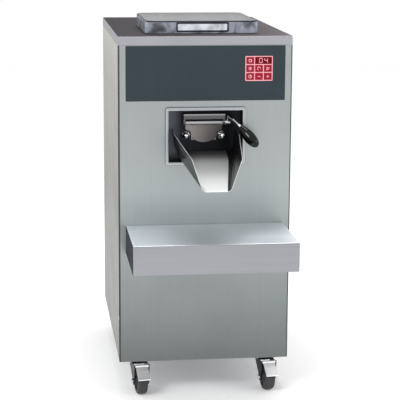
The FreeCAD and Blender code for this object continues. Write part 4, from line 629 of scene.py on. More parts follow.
class Shape:
    """A piece in the making: its parts are shaped one by one and gathered in one mesh."""

    def __init__(self) -> None:
        """Starts with no parts."""
        self.mesh = bpy.data.meshes.new("gathering")

    def add(self, bm: bmesh.types.BMesh, slot: int | Callable[[bmesh.types.BMFace], int] = 0,
            turn: Optional[Matrix] = None) -> "Shape":
        """Gathers a finished part and frees its bmesh.

        Args:
            bm: The part.
            slot: Material slot of its faces, or a function that gives it for a face.
            turn: Matrix that moves the part first.

        Returns:
            This shape.
        """
        if turn is not None:
            bm.transform(turn)
        bmesh.ops.recalc_face_normals(bm, faces=bm.faces)
        for face in bm.faces:
            face.material_index = slot(face) if callable(slot) else slot
        bm.from_mesh(self.mesh)
        bm.to_mesh(self.mesh)
        bm.free()
        return self

    def repeat(self, matrices: Iterable[Matrix]) -> "Shape":
        """Leaves one copy of everything gathered so far for each matrix."""
        bm = bmesh.new()
        source = self.mesh.copy()
        for matrix in matrices:
            turned = source.copy()
            turned.transform(matrix)
            bm.from_mesh(turned)
            bpy.data.meshes.remove(turned)
        bpy.data.meshes.remove(source)
        bm.to_mesh(self.mesh)
        bm.free()
        return self

    def turned(self, matrix: Matrix) -> "Shape":
        """Turns and moves everything gathered so far."""
        self.mesh.transform(matrix)
        return self

    def box(self, low: Sequence[float], high: Sequence[float], bevel: float, segments: int = 3,
            slot: int = 0, turn: Optional[Matrix] = None) -> "Shape":
        """Adds a box with rounded edges between two corners."""
        bm = box_mesh(low, high)
        round_edges(bm, bm.edges[:], bevel, segments)
        return self.add(bm, slot, turn)

    def bar(self, start: Sequence[float], end: Sequence[float], radius: float, bevel: float = 0.0,
            steps: int = 48, slot: int = 0) -> "Shape":
        """Adds a round bar from one point to another with rounded rims."""
        first, last = Vector(start), Vector(end)
        along = last - first
        bm = bmesh.new()
        bmesh.ops.create_cone(bm, cap_ends=True, segments=steps, radius1=radius, radius2=radius,
                              depth=along.length, matrix=axis_matrix((first + last) / 2, along))
        if bevel:
            rims = [edge for edge in bm.edges if any(len(face.verts) > 4 for face in edge.link_faces)]
            round_edges(bm, rims, bevel, 3)
        return self.add(bm, slot)

    def nut(self, start: Sequence[float], end: Sequence[float], across: float, slot: int = 0) -> "Shape":
        """Adds a hexagon nut with softened corners, across its corners."""
        return self.bar(start, end, across, bevel=across * 0.12, steps=6, slot=slot)

    def lathe(self, profile: Sequence[Sequence[float]], origin: Sequence[float], along: Sequence[float],
              steps: int = 64, slot: int = 0, bevel: float = 0.0) -> "Shape":
        """Turns an outline of (radius, height) points about an axis through a point.

        Args:
            profile: The outline, from the axis back to the axis or to its own start.
            origin: Point of height nought on the axis.
            along: Direction of the axis.
            steps: Facets of a full turn.
            slot: Material slot.
            bevel: Width by which its corners are rounded.

        Returns:
            This shape.
        """
        bm = bmesh.new()
        verts = [bm.verts.new((radius, 0.0, height)) for radius, height in profile]
        edges = [bm.edges.new(pair) for pair in zip(verts, verts[1:])]
        bmesh.ops.spin(bm, geom=verts + edges, cent=(0, 0, 0), axis=(0, 0, 1), dvec=(0, 0, 0),
                       angle=math.tau, steps=steps, use_merge=True)
        bmesh.ops.remove_doubles(bm, verts=bm.verts, dist=1e-6)
        bmesh.ops.recalc_face_normals(bm, faces=bm.faces)
        if bevel:
            sharp = [edge for edge in bm.edges if edge.calc_face_angle(0.0) > math.radians(35)]
            round_edges(bm, sharp, bevel, 3)
        return self.add(bm, slot, axis_matrix(origin, along))

    def prism(self, outline: Iterable[Sequence[float]], depth: Sequence[float], bevel: float = 0.0,
              segments: int = 2, slot: int = 0, turn: Optional[Matrix] = None) -> "Shape":
        """Pushes a flat outline through a depth and rounds its edges.

        Args:
            outline: Points of the outline in order.
            depth: Vector from the first face to the last.
            bevel: Width by which its edges are rounded.
            segments: Facets of the rounding.
            slot: Material slot.
            turn: Matrix that moves the prism.

        Returns:
            This shape.
        """
        bm = bmesh.new()
        verts = [bm.verts.new(point) for point in outline]
        face = bmesh.ops.contextual_create(bm, geom=verts)["faces"][0]
        grown = bmesh.ops.extrude_face_region(bm, geom=[face], use_keep_orig=True)
        moved = [item for item in grown["geom"] if isinstance(item, bmesh.types.BMVert)]
        bmesh.ops.translate(bm, verts=moved, vec=Vector(depth))
        bmesh.ops.recalc_face_normals(bm, faces=bm.faces)
        if bevel:
            rims = [edge for edge in bm.edges if edge.calc_face_angle(0.0) > math.radians(30)]
            round_edges(bm, rims, bevel, segments)
        return self.add(bm, slot, turn)

    def rod(self, points: Sequence[Sequence[float]], radius: float, bend: float, slot: int = 0) -> "Shape":
        """Adds a round rod along straight runs joined by arcs.

        Args:
            points: Ends and corners of the rod.
            radius: Radius of the rod.
            bend: Radius of its bends at the middle line.
            slot: Material slot.

        Returns:
            This shape.
        """
        line = bent_line([Vector(point) for point in points], bend)
        bm = bmesh.new()
        loops: list[list[bmesh.types.BMEdge]] = []
        for index, place in enumerate(line):
            before, after = line[max(index - 1, 0)], line[min(index + 1, len(line) - 1)]
            ring = bmesh.ops.create_circle(bm, cap_ends=index in (0, len(line) - 1), segments=32,
                                           radius=radius, matrix=axis_matrix(place, after - before))
            loops.append(list({edge for vert in ring["verts"] for edge in vert.link_edges}))
        for first, last in zip(loops, loops[1:]):
            bmesh.ops.bridge_loops(bm, edges=first + last)
        return self.add(bm, slot)

    def finish(self, name: str, body: str, finishes: Sequence[Finish], slot: str,
               replaces: Sequence[str] = (), crease: float = 38.0) -> bpy.types.Object:
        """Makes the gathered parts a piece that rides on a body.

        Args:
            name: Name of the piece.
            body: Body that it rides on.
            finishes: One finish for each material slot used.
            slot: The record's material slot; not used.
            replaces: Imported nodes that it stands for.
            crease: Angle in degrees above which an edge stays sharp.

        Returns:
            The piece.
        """
        mesh = self.mesh
        mesh.name = name
        bm = bmesh.new()
        bm.from_mesh(mesh)
        for face in bm.faces:
            face.smooth = True
        for edge in bm.edges:
            edge.smooth = edge.calc_face_angle(0.0) < math.radians(crease)
        bm.to_mesh(mesh)
        bm.free()
        for made in finishes:
            mesh.materials.append(made.material())
        piece = bpy.data.objects.new(name, mesh)
        bpy.context.scene.collection.objects.link(piece)
        even = piece.modifiers.new("even_normals", "WEIGHTED_NORMAL")
        even.keep_sharp = True
        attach(piece, body)
        if replaces:
            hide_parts(*replaces)
        LOG.info("piece %s on %s, %d faces", name, body, len(mesh.polygons))
        return piece


def bent_line(points: Sequence[Vector], bend: float, steps: int = 6) -> list[Vector]:
    """Points along straight runs whose corners are rounded by arcs.

    Args:
        points: Ends and corners.
        bend: Radius of the arcs.
        steps: Steps along each arc.

    Returns:
        The points of the line.
    """
    line = [points[0]]
    for before, corner, after in zip(points, points[1:], points[2:]):
        inward, outward = (before - corner).normalized(), (after - corner).normalized()
        half = inward.angle(outward) / 2
        setback = bend / math.tan(half)
        start, end = corner + inward * setback, corner + outward * setback
        centre = corner + (inward + outward).normalized() * (bend / math.sin(half))
        first, last = start - centre, end - centre
        axis, sweep = first.cross(last), first.angle(last)
        line += [centre + Matrix.Rotation(sweep * step / steps, 3, axis) @ first for step in range(steps + 1)]
    line.append(points[-1])
    return line


def smooth_node(piece: bpy.types.Object) -> None:
    """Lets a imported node's round faces look round without a change to its points."""
    for face in piece.data.polygons:
        face.use_smooth = True
    weld = piece.modifiers.new("weld", "WELD")
    weld.merge_threshold = 0.00001
    split = piece.modifiers.new("sharp_edges", "EDGE_SPLIT")
    split.split_angle = math.radians(35)


def dress(node: str, finish: Finish) -> None:
    """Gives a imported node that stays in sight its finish.

    Args:
        node: Name of the node.
        finish: What it wears.
    """
    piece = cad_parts[node]
    piece.data.materials.clear()
    piece.data.materials.append(finish.material())
    smooth_node(piece)
    LOG.info("node %s wears %s", node, finish.name)


def ring_sheet(outer: Sequence[Flat], inner: Sequence[Flat],
               place: Callable[[float, float], Point]) -> bmesh.types.BMesh:
    """A flat frame without thickness between two outlines with as many points.

    Args:
        outer: Outline of the outside.
        inner: Outline of the opening.
        place: Function that puts a flat point where it belongs.

    Returns:
        The frame.
    """
    bm = bmesh.new()
    edges = []
    for outline in (outer, inner):
        verts = [bm.verts.new(place(*point)) for point in outline]
        edges += [bm.edges.new(pair) for pair in zip(verts, verts[1:] + verts[:1])]
    bmesh.ops.bridge_loops(bm, edges=edges)
    return bm


def face_towards(bm: bmesh.types.BMesh, away: Sequence[float]) -> bmesh.types.BMesh:
    """Makes a flat sheet look one way."""
    bm.normal_update()
    wrong = [face for face in bm.faces if face.normal.dot(Vector(away)) < 0]
    bmesh.ops.reverse_faces(bm, faces=wrong)
    return bm


def face_out_of(bm: bmesh.types.BMesh, centre: Sequence[float]) -> bmesh.types.BMesh:
    """Makes a folded sheet look away from a point inside it."""
    bm.normal_update()
    inside = Vector(centre)
    wrong = [face for face in bm.faces if face.normal.dot(face.calc_center_median() - inside) < 0]
    bmesh.ops.reverse_faces(bm, faces=wrong)
    return bm


def soften(bm: bmesh.types.BMesh, width: float, keep: Callable[[Vector], bool],
           segments: int = 3) -> bmesh.types.BMesh:
    """Rounds the sharp edges of a sheet whose middle passes a test."""
    bm.normal_update()
    rims = [edge for edge in bm.edges if edge.calc_face_angle(0.0) > math.radians(60)
            and keep((edge.verts[0].co + edge.verts[1].co) / 2)]
    round_edges(bm, rims, width, segments)
    return bm


# ---- casing --------------------------------------------------------------------------------
@dataclass
class Casing:
    """Folded sheets round the cabinet, with the screws that hold them."""

    sheet: float = 1.5 * MM
    bend: float = 2.5 * MM
    tray_sheet: float = 3.0 * MM
    hatch_overlap: float = 8.2 * MM
    screw_radius: float = 4.5 * MM
    screw_drops: tuple[float, ...] = mm(43, 185, 827)
    screw_depths: tuple[float, ...] = mm(-227.5, 475)
    screw_inset: float = 15 * MM
    front_bend: float = 4.0 * MM
    mouth_inset: float = 6 * MM
    flat_front: float = 0.15
    flat_top: float = 0.75
    vent_columns: int = 3
    vent_rows: int = 9
    vent_pitch: float = 22 * MM
    vent_column_pitch: float = 125 * MM
    vent_width: float = 90 * MM
    vent_low: float = 485 * MM

    def build(self) -> None:
        """Makes every sheet and dresses the frame behind them."""
        self.front_panel()
        self.side_panels()
        self.top_cover()
        self.base_tray()
        self.louvres()
        self.screws()
        for node in ("inner_frame", "electrical_box"):
            dress(node, Finishes.FRAME)
        dress("rear_panel", Finishes.SIDE)

    def front_panel(self) -> None:
        """Front sheet with rolled side folds and the hatch opening."""
        low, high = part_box("front_panel")
        hatch_low, hatch_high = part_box("hatch_surround")
        corners = ((low.x, high.y), (low.x, low.y), (high.x, low.y), (high.x, high.y))
        path = [(x, y, low.z) for x, y in corners]
        bm = folded_strip(path, (0, 0, high.z - low.z), self.front_bend)
        face_out_of(bm, (0, high.y, (low.z + high.z) / 2))
        edge = self.hatch_overlap
        cut_window(bm, (0, -1, 0), [(0, hatch_low.x + edge, hatch_high.x - edge),
                                    (2, hatch_low.z + edge, hatch_high.z - edge)])
        # Faces of the side folds, which lean sideways, take the dark fold finish: painted shade.
        Shape().add(thicken(bm, self.sheet), lambda face: int(abs(face.normal.x) > self.flat_front)).finish(
            "front_sheet", "root", [Finishes.FRONT, Finishes.FOLD_SHADE], "brushed_panel", ["front_panel"])

    def side_panels(self) -> None:
        """Side sheets with softened edges."""
        for side in ("left", "right"):
            low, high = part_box(f"{side}_side_panel")
            Shape().box(low, high, 0.6 * MM).finish(f"{side}_side_sheet", "root", [Finishes.SIDE],
                                                    "side_steel", [f"{side}_side_panel"])

    def top_cover(self) -> None:
        """Cover folded down all round, with the round mouth of the cylinder."""
        low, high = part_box("top_cover")
        middle = middle_of_cylinder()
        bm = open_box(low, high, (0, 0, -1), self.bend)
        top = max(bm.faces, key=lambda face: face.calc_area() if face.normal.z > 0.9 else 0.0)
        outline = list(top.edges)
        bmesh.ops.delete(bm, geom=[top], context="FACES_ONLY")
        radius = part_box("freezing_cylinder")[1].x - self.mouth_inset
        circle = bmesh.ops.create_circle(bm, segments=96, radius=radius,
                                         matrix=Matrix.Translation((0, middle.y, high.z)))
        hole = list({edge for vert in circle["verts"] for edge in vert.link_edges})
        bmesh.ops.bridge_loops(bm, edges=outline + hole)
        face_out_of(bm, (0, middle.y, low.z))
        bm.normal_update()
        # Top faces take the darker copy of the cover steel, the folded edges the lighter one: painted light
        # and shade by face direction.
        Shape().add(thicken(bm, self.sheet), lambda face: int(abs(face.normal.z) <= self.flat_top)).finish(
            "top_cover_sheet", "root", [Finishes.COVER_TOP_SHADED, Finishes.COVER_EDGE_LIT], "cover_steel",
            ["top_cover"])

    def base_tray(self) -> None:
        """Tray with upturned edges under the cabinet."""
        low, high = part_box("base_tray")
        bm = open_box(low, high, (0, 0, 1), self.tray_sheet)
        Shape().add(thicken(bm, self.tray_sheet)).finish("base_tray_sheet", "root", [Finishes.FRAME],
                                                         "frame_steel", ["base_tray"])

    def louvres(self) -> None:
        """Pressed hoods over the slots of the rear panel."""
        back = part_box("rear_panel")[1].y
        shape = Shape()
        hood = [(0.0, 9.0), (1.5, 9.0), (5.0, 5.5), (6.0, 1.5), (5.1, 1.2), (4.2, 5.0), (1.2, 7.8),
                (0.0, 7.8)]
        for column in range(self.vent_columns):
            left = (column - (self.vent_columns - 1) / 2) * self.vent_column_pitch - self.vent_width / 2
            for row in range(self.vent_rows):
                foot = self.vent_low + row * self.vent_pitch
                outline = [(left, back + out * MM, foot + rise * MM) for out, rise in hood]
                shape.prism(outline, (self.vent_width, 0, 0), 0.3 * MM)
        shape.finish("rear_louvres", "root", [Finishes.SIDE], "side_steel")

    def screws(self) -> None:
        """Pan-head screws with washers, and crossed dark bars on their heads as painted shade of cross
        recesses.
        """
        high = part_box("top_cover")[1]
        places = [(Vector((side * high.x, depth, high.z - drop)), Vector((side, 0, 0)))
                  for side in (-1, 1) for depth in self.screw_depths for drop in self.screw_drops]
        places += [(Vector((side * (high.x - self.screw_inset), high.y, high.z - drop)), Vector((0, 1, 0)))
                   for side in (-1, 1) for drop in self.screw_drops]
        radius = self.screw_radius
        shape = Shape()
        head = [(0, -2), (0.45, -2), (0.45, 0), (1, 0), (1, 0.5), (0.86, 1.1), (0.6, 1.55), (0.3, 1.7),
                (0, 1.75)]
        shape.lathe([(share * radius, rise * MM) for share, rise in head], (0, 0, 0), (0, 0, 1), 32)
        # Two crossed dark bars: painted shade where a cross recess would be.
        for turn in (0.0, math.pi / 2):
            shape.box(mm(-2.2, -0.45, 1.2), mm(2.2, 0.45, 1.79), 0.15 * MM, slot=1,
                      turn=Matrix.Rotation(turn, 4, "Z"))
        shape.repeat([axis_matrix(place, outward) for place, outward in places])
        shape.finish("screws", "root", [Finishes.ZINC, Finishes.CROSS_SHADE], "zinc", ["panel_screws"])


def middle_of_cylinder() -> Vector:
    """Point on the axis of the freezing cylinder."""
    low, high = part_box("lid_gasket")
    return (low + high) / 2


# ---- control panel -------------------------------------------------------------------------
class KeyMark(Enum):
    """Picture printed on a key."""

    START = "start"
    STOP = "stop"
    MORE = "more"
    LESS = "less"
    COLD = "cold"
    STIR = "stir"
    CLOCK = "clock"


@dataclass
class ControlPanel:
    """Dark fascia with a grid of seven keys and a pane over two digits."""

    corner: float = 3.0 * MM
    film: float = 1.2 * MM
    stroke: float = 1.5 * MM
    print_proud: float = 0.04 * MM
    print_depth: float = 0.3 * MM
    gap: float = 0.3 * MM
    digit_pitch: float = 15 * MM
    digit_half: Flat = (4.2, 6.4)
    marks: tuple[KeyMark, ...] = (KeyMark.STOP, KeyMark.COLD, KeyMark.STIR, KeyMark.START, KeyMark.CLOCK,
                                  KeyMark.LESS, KeyMark.MORE)
    digits: str = "04"

    def build(self) -> None:
        """Makes the fascia, the bezel, the keys and the pane."""
        self.fascia()
        self.bezel()
        for number, mark in enumerate(self.marks, start=1):
            self.key(number, mark)
        self.display()

    def blank(self, node: str) -> bmesh.types.BMesh:
        """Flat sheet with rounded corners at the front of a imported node."""
        low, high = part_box(node)
        middle = (low + high) / 2
        bm = bmesh.new()
        outline = rounded_outline((high.x - low.x) / 2, (high.z - low.z) / 2, self.corner)
        bm.faces.new([bm.verts.new((middle.x + x, low.y, middle.z + z)) for x, z in outline])
        return face_towards(bm, (0, -1, 0))

    def fascia(self) -> None:
        """Printed film with rounded corners round the keypad."""
        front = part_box("control_fascia")[0].y + 0.1 * MM
        low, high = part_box("keypad_bezel")
        bm = self.blank("control_fascia")
        cut_window(bm, (0, -1, 0), [(0, low.x, high.x), (2, low.z, high.z)])
        thicken(bm, self.film)
        soften(bm, 0.3 * MM, lambda point: point.y < front, 2)
        Shape().add(bm).finish("fascia_panel", "root", [Finishes.FASCIA], "fascia_film", ["control_fascia"])

    def bezel(self) -> None:
        """Raised grid with a window for every key and the pane."""
        low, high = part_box("keypad_bezel")
        windows = [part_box(f"keypad_key_{number}") for number in range(1, len(self.marks) + 1)]
        windows.append(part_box("display_window"))
        bm = self.blank("keypad_bezel")
        gap = self.gap
        for first, last in windows:
            cut_window(bm, (0, -1, 0), [(0, first.x - gap, last.x + gap), (2, first.z - gap, last.z + gap)])
        thicken(bm, high.y - low.y)
        soften(bm, 0.4 * MM, lambda point: point.y < low.y + 0.1 * MM, 2)
        Shape().add(bm).finish("keypad_grid", "root", [Finishes.KEY_GRID], "key_bezel", ["keypad_bezel"])

    def key(self, number: int, mark: KeyMark) -> None:
        """One key cap with its printed picture.

        Args:
            number: Number of the key.
            mark: The picture.
        """
        low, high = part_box(f"keypad_key_{number}")
        middle = (low + high) / 2
        shape = Shape().box(low, high, 0.6 * MM)
        for line in self.picture(mark):
            for start, end in zip(line, line[1:]):
                self.stroke_between(shape, (middle.x, low.y, middle.z), start, end)
        shape.finish(f"key_cap_{number}", f"key_{number}", [Finishes.KEY, Finishes.KEY_MARK], "key_red",
                     [f"keypad_key_{number}"])

    def on_face(self, place: Point, point: Flat) -> Vector:
        """Point of a printed outline, from millimetres about the middle of a face."""
        return Vector((place[0] + point[0] * MM, place[1] - self.print_proud, place[2] + point[1] * MM))

    def stroke_between(self, shape: Shape, place: Point, start: Flat, end: Flat) -> None:
        """Prints a straight stroke on a key face, in millimetres from its middle."""
        first, last = self.on_face(place, start), self.on_face(place, end)
        across = (last - first).normalized().cross(Vector((0, 1, 0))) * self.stroke / 2
        outline = [first - across, last - across, last + across, first + across]
        shape.prism(outline, (0, self.print_depth, 0), slot=1)

    def picture(self, mark: KeyMark) -> list[list[Flat]]:
        """Lines of a key's picture, in millimetres from its middle.

        Args:
            mark: The picture.

        Returns:
            The corners of each line.
        """
        ring = arc(0.0, 0.0, 4.4, range(0, 361, 30))
        return {
            KeyMark.LESS: [[(-4, 0), (4, 0)]],
            KeyMark.MORE: [[(-4, 0), (4, 0)], [(0, -4), (0, 4)]],
            KeyMark.COLD: [[(-x, -z), (x, z)] for x, z in arc(0.0, 0.0, 5.0, (30, 90, 150))],
            KeyMark.STOP: [[(-3.6, -3.6), (3.6, -3.6), (3.6, 3.6), (-3.6, 3.6), (-3.6, -3.6)]],
            KeyMark.START: [[(-3.0, -4.2), (4.6, 0.0), (-3.0, 4.2), (-3.0, -4.2)]],
            KeyMark.CLOCK: [ring, [(0, 0), (0, 3.4)], [(0, 0), (2.4, 0)]],
            KeyMark.STIR: [ring[:10], [(0, -4.4), (-2.6, -2.4)]],
        }[mark]

    def display(self) -> None:
        """Tinted pane with two seven-bar digits behind its face."""
        low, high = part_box("display_window")
        middle = (low + high) / 2
        shape = Shape().box(low, high, 0.4 * MM)
        segments = {"0": "abcdef", "4": "bcfg"}
        half_x, half_z = self.digit_half
        bars = {"a": ((-half_x, half_z), (half_x, half_z)), "b": ((half_x, half_z), (half_x, 0)),
                "c": ((half_x, 0), (half_x, -half_z)), "d": ((-half_x, -half_z), (half_x, -half_z)),
                "e": ((-half_x, 0), (-half_x, -half_z)), "f": ((-half_x, half_z), (-half_x, 0)),
                "g": ((-half_x, 0), (half_x, 0))}
        for index, digit in enumerate(self.digits):
            place = (middle.x + (index - 0.5) * self.digit_pitch, low.y, middle.z)
            for name in segments[digit]:
                self.digit_bar(shape, place, *bars[name])
        shape.finish("display_pane", "root", [Finishes.DISPLAY, Finishes.DIGIT], "display_pane",
                     ["display_window"])

    def digit_bar(self, shape: Shape, place: Point, start: Flat, end: Flat) -> None:
        """One bar of a digit, pointed at both ends."""
        first, last = self.on_face(place, start), self.on_face(place, end)
        along = (last - first).normalized() * MM
        across = along.cross(Vector((0, 1, 0))) * 0.9
        outline = [first + along * 0.2, first + along + across, last - along + across, last - along * 0.2,
                   last - along - across, first + along - across]
        shape.prism(outline, (0, self.print_depth, 0), slot=1)


# ---- hatch, gate and lever -----------------------------------------------------------------
@dataclass
class Hatch:
    """Recess with its lip, the gate with its spindle and housing, and the lever."""

    sheet: float = 1.5 * MM
    lip_proud: float = 5.0 * MM
    lip_width: float = 10.0 * MM
    lip_corner: float = 9.0 * MM
    ear_radius: float = 9.0 * MM
    ear_thick: float = 6.0 * MM
    axis: Point = mm(0, -214, 808.5)
    gate_top: float = 54 * MM
    gate_shoulder: float = 20 * MM
    gate_low: float = 38 * MM
    gate_bow: float = 18 * MM
    gate_back: float = 7 * MM
    gate_front: float = 3.5 * MM
    sleeve_radius: float = 7 * MM
    spindle_radius: float = 5 * MM
    port_half: float = 36.3 * MM
    port_span: Flat = mm(756.7, 807.3)
    nut_seat: float = -206.5 * MM
    stud_length: float = 8 * MM
    stud_radius: float = 4 * MM
    hub_middle: float = 68.4 * MM
    hub_half: float = 7.5 * MM
    hub_radius: float = 8.5 * MM
    lever_bend: Point = mm(0, -16, 24)
    lever_neck: Point = mm(26, -61, -1.5)
    grip_way: Point = (47, -37, -55)
    rod_bend: float = 9 * MM
    rod_in_grip: float = 40 * MM
    rod_radius: float = 4.5 * MM
    grip_length: float = 82 * MM
    grip_neck: float = 8.5 * MM
    grip_belly: float = 17 * MM
    grip_belly_at: float = 49.2 * MM

    def build(self) -> None:
        """Makes the recess, the gate and the lever."""
        self.lip()
        self.recess()
        self.housing()
        self.gate()
        self.nuts()
        self.lever()
        self.grip()

    def lip(self) -> None:
        """Rolled frame round the opening."""
        low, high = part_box("hatch_surround")
        middle = (low + high) / 2
        half_x, half_z = (high.x - low.x) / 2, (high.z - low.z) / 2
        width = self.lip_width
        bm = ring_sheet(rounded_outline(half_x, half_z, self.lip_corner),
                        rounded_outline(half_x - width, half_z - width, MM),
                        lambda x, z: (middle.x + x, low.y, middle.z + z))
        thicken(face_towards(bm, (0, -1, 0)), self.lip_proud)
        soften(bm, 1.6 * MM, lambda point: point.y < low.y + 0.1 * MM)

        def part_of(face: bmesh.types.BMFace) -> int:
            """Slot: front, top inner roll with a painted highlight, or other rolls with painted shade."""
            if face.normal.y < -0.95:
                return 0
            centre = face.calc_center_median() - middle
            inner = max(abs(centre.x) - half_x, abs(centre.z) - half_z) < -width / 2
            return 1 if inner and centre.z > half_z - 2 * width else 2

        Shape().add(bm, part_of).finish(
            "hatch_lip", "root", [Finishes.LIP, Finishes.LIP_HIGHLIGHT, Finishes.LIP_SHADE], "satin_steel")

    def recess(self) -> None:
        """Folded box behind the lip, with the port in its back wall."""
        low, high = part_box("hatch_surround")
        inset = self.lip_width - self.sheet
        bm = open_box((low.x + inset, low.y + self.lip_proud, low.z + inset),
                      (high.x - inset, high.y, high.z - inset), (0, -1, 0), 2 * MM)
        cut_window(bm, (0, 1, 0), [(0, -self.port_half, self.port_half), (2, *self.port_span)])
        # The recess wears the dark recess finish: painted shade.
        Shape().add(thicken(bm, self.sheet)).finish("hatch_recess", "root", [Finishes.RECESS_SHADED], "satin_steel",
                                                    ["hatch_surround"])

    def housing(self) -> None:
        """Bar over the gate with a rounded ear at each end."""
        low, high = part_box("gate_housing")
        _, y, z = self.axis
        ear = self.ear_radius
        bar_low = z + ear + 1.2 * MM
        shape = Shape().box((low.x, low.y, bar_low), high, 1.6 * MM)
        outline = [(high.y, z - ear), *arc(y, z, ear, (270 - 90 * step / 8 for step in range(9))),
                   (y - ear, bar_low + MM), (high.y, bar_low + MM)]
        for left in (low.x, high.x - self.ear_thick):
            shape.prism([(left, depth, rise) for depth, rise in outline], (self.ear_thick, 0, 0), 0.8 * MM)
        # The bar and ears wear the housing finish, darker below 0.83 m as painted shade.
        shape.finish("gate_bar", "root", [Finishes.HOUSING_SHADED], "satin_steel", ["gate_housing"])

    def gate(self) -> None:
        """Plate with a bowed lower edge on its sleeve, and the spindle."""
        _, y, z = self.axis
        back, front = y + self.gate_back, y + self.gate_front
        shoulder, foot = z - self.gate_shoulder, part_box("discharge_gate")[0].z
        narrow = shoulder - (self.gate_top - self.gate_low) / 2
        radius = (self.gate_low ** 2 + self.gate_bow ** 2) / (2 * self.gate_bow)
        half = math.asin(self.gate_low / radius)
        corners = [(self.gate_top, z), (self.gate_top, shoulder), (self.gate_low, narrow),
                   (self.gate_low, foot + self.gate_bow)]
        turns = [half - 2 * half * step / 24 for step in range(1, 24)]
        outline = corners + [(radius * math.sin(turn), foot + radius - radius * math.cos(turn))
                             for turn in turns]
        outline += [(-across, rise) for across, rise in reversed(corners)]
        shape = Shape().prism([(px, back, pz) for px, pz in outline], (0, front - back, 0), 0.9 * MM, 3)
        shape.bar((-self.gate_top, y, z), (self.gate_top, y, z), self.sleeve_radius, 0.8 * MM, slot=1)
        # The plate wears the gate finish, darker towards +X as painted shade.
        shape.finish("gate_plate", "gate", [Finishes.GATE_SHADED, Finishes.SATIN], "gate_steel", ["discharge_gate"])
        low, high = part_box("gate_spindle")
        Shape().bar((low.x, y, z), (high.x, y, z), self.spindle_radius, 0.8 * MM).finish(
            "gate_pivot", "gate", [Finishes.POLISHED], "polished_steel", ["gate_spindle"])

    def nuts(self) -> None:
        """Two domed nuts with their washers."""
        low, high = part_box("dome_nuts")
        seat = self.nut_seat
        length = seat - low.y
        radius = (high.z - low.z) / 2
        shape = Shape()
        for side in (-1, 1):
            place = (side * (high.x - radius), seat, (low.z + high.z) / 2)
            dome = [(radius * 0.86 * across, length * 0.42 + length * 0.58 * rise)
                    for across, rise in arc(0.0, 0.0, 1.0, range(0, 91, 9))]
            shape.lathe([(0, 0), (radius, 0), (radius, length * 0.12), (radius * 0.9, length * 0.16)] + dome,
                        place, (0, -1, 0), 48)
            base = Vector(place)
            shape.nut(base - Vector((0, length * 0.14, 0)), base - Vector((0, length * 0.5, 0)),
                      radius * 0.97)
            shape.bar(base, base + Vector((0, self.stud_length, 0)), self.stud_radius)
        shape.finish("nuts", "root", [Finishes.POLISHED], "polished_steel", ["dome_nuts"])

    def lever_path(self) -> list[Vector]:
        """Hub centre, bend and neck of the lever, and the way its grip points."""
        _, y, z = self.axis
        hub = Vector((self.hub_middle, y, z))
        return [hub, hub + Vector(self.lever_bend), hub + Vector(self.lever_neck),
                Vector(self.grip_way).normalized()]

    def lever(self) -> None:
        """Hub with a grub screw, and the bent rod."""
        hub, bend, neck, along = self.lever_path()
        half = Vector((self.hub_half, 0, 0))
        shape = Shape().bar(hub - half, hub + half, self.hub_radius, 1.0 * MM)
        shape.rod([hub, bend, neck, neck + along * self.rod_in_grip], self.rod_radius, self.rod_bend)
        shape.bar(hub + Vector(mm(3.5, 0, 7)), hub + Vector(mm(3.5, 0, 8.9)), 1.8 * MM, 0.3 * MM, steps=6)
        shape.finish("lever_rod", "gate", [Finishes.POLISHED], "polished_steel", ["lever_arm"])

    def grip(self) -> None:
        """Egg-shaped grip with a ferrule at its neck."""
        _, _, neck, along = self.lever_path()
        start = self.rod_radius
        rise = self.grip_belly_at - start
        nose = self.grip_length - self.grip_belly_at
        swell = self.grip_belly - self.grip_neck
        profile = [(self.rod_radius, start), (self.grip_neck - MM, start),
                   (self.grip_neck - 0.2 * MM, start + 0.6 * MM)]
        profile += [(self.grip_neck + swell * math.sin(math.pi / 2 * step / 14),
                     start + MM + (rise - MM) * step / 14) for step in range(15)]
        profile += [(self.grip_belly * math.cos(math.pi / 2 * step / 16),
                     self.grip_belly_at + nose * math.sin(math.pi / 2 * step / 16)) for step in range(1, 17)]
        shape = Shape().lathe(profile, neck, along, 64)
        shape.finish("grip_egg", "gate", [Finishes.GRIP], "black_grip", ["lever_grip"])


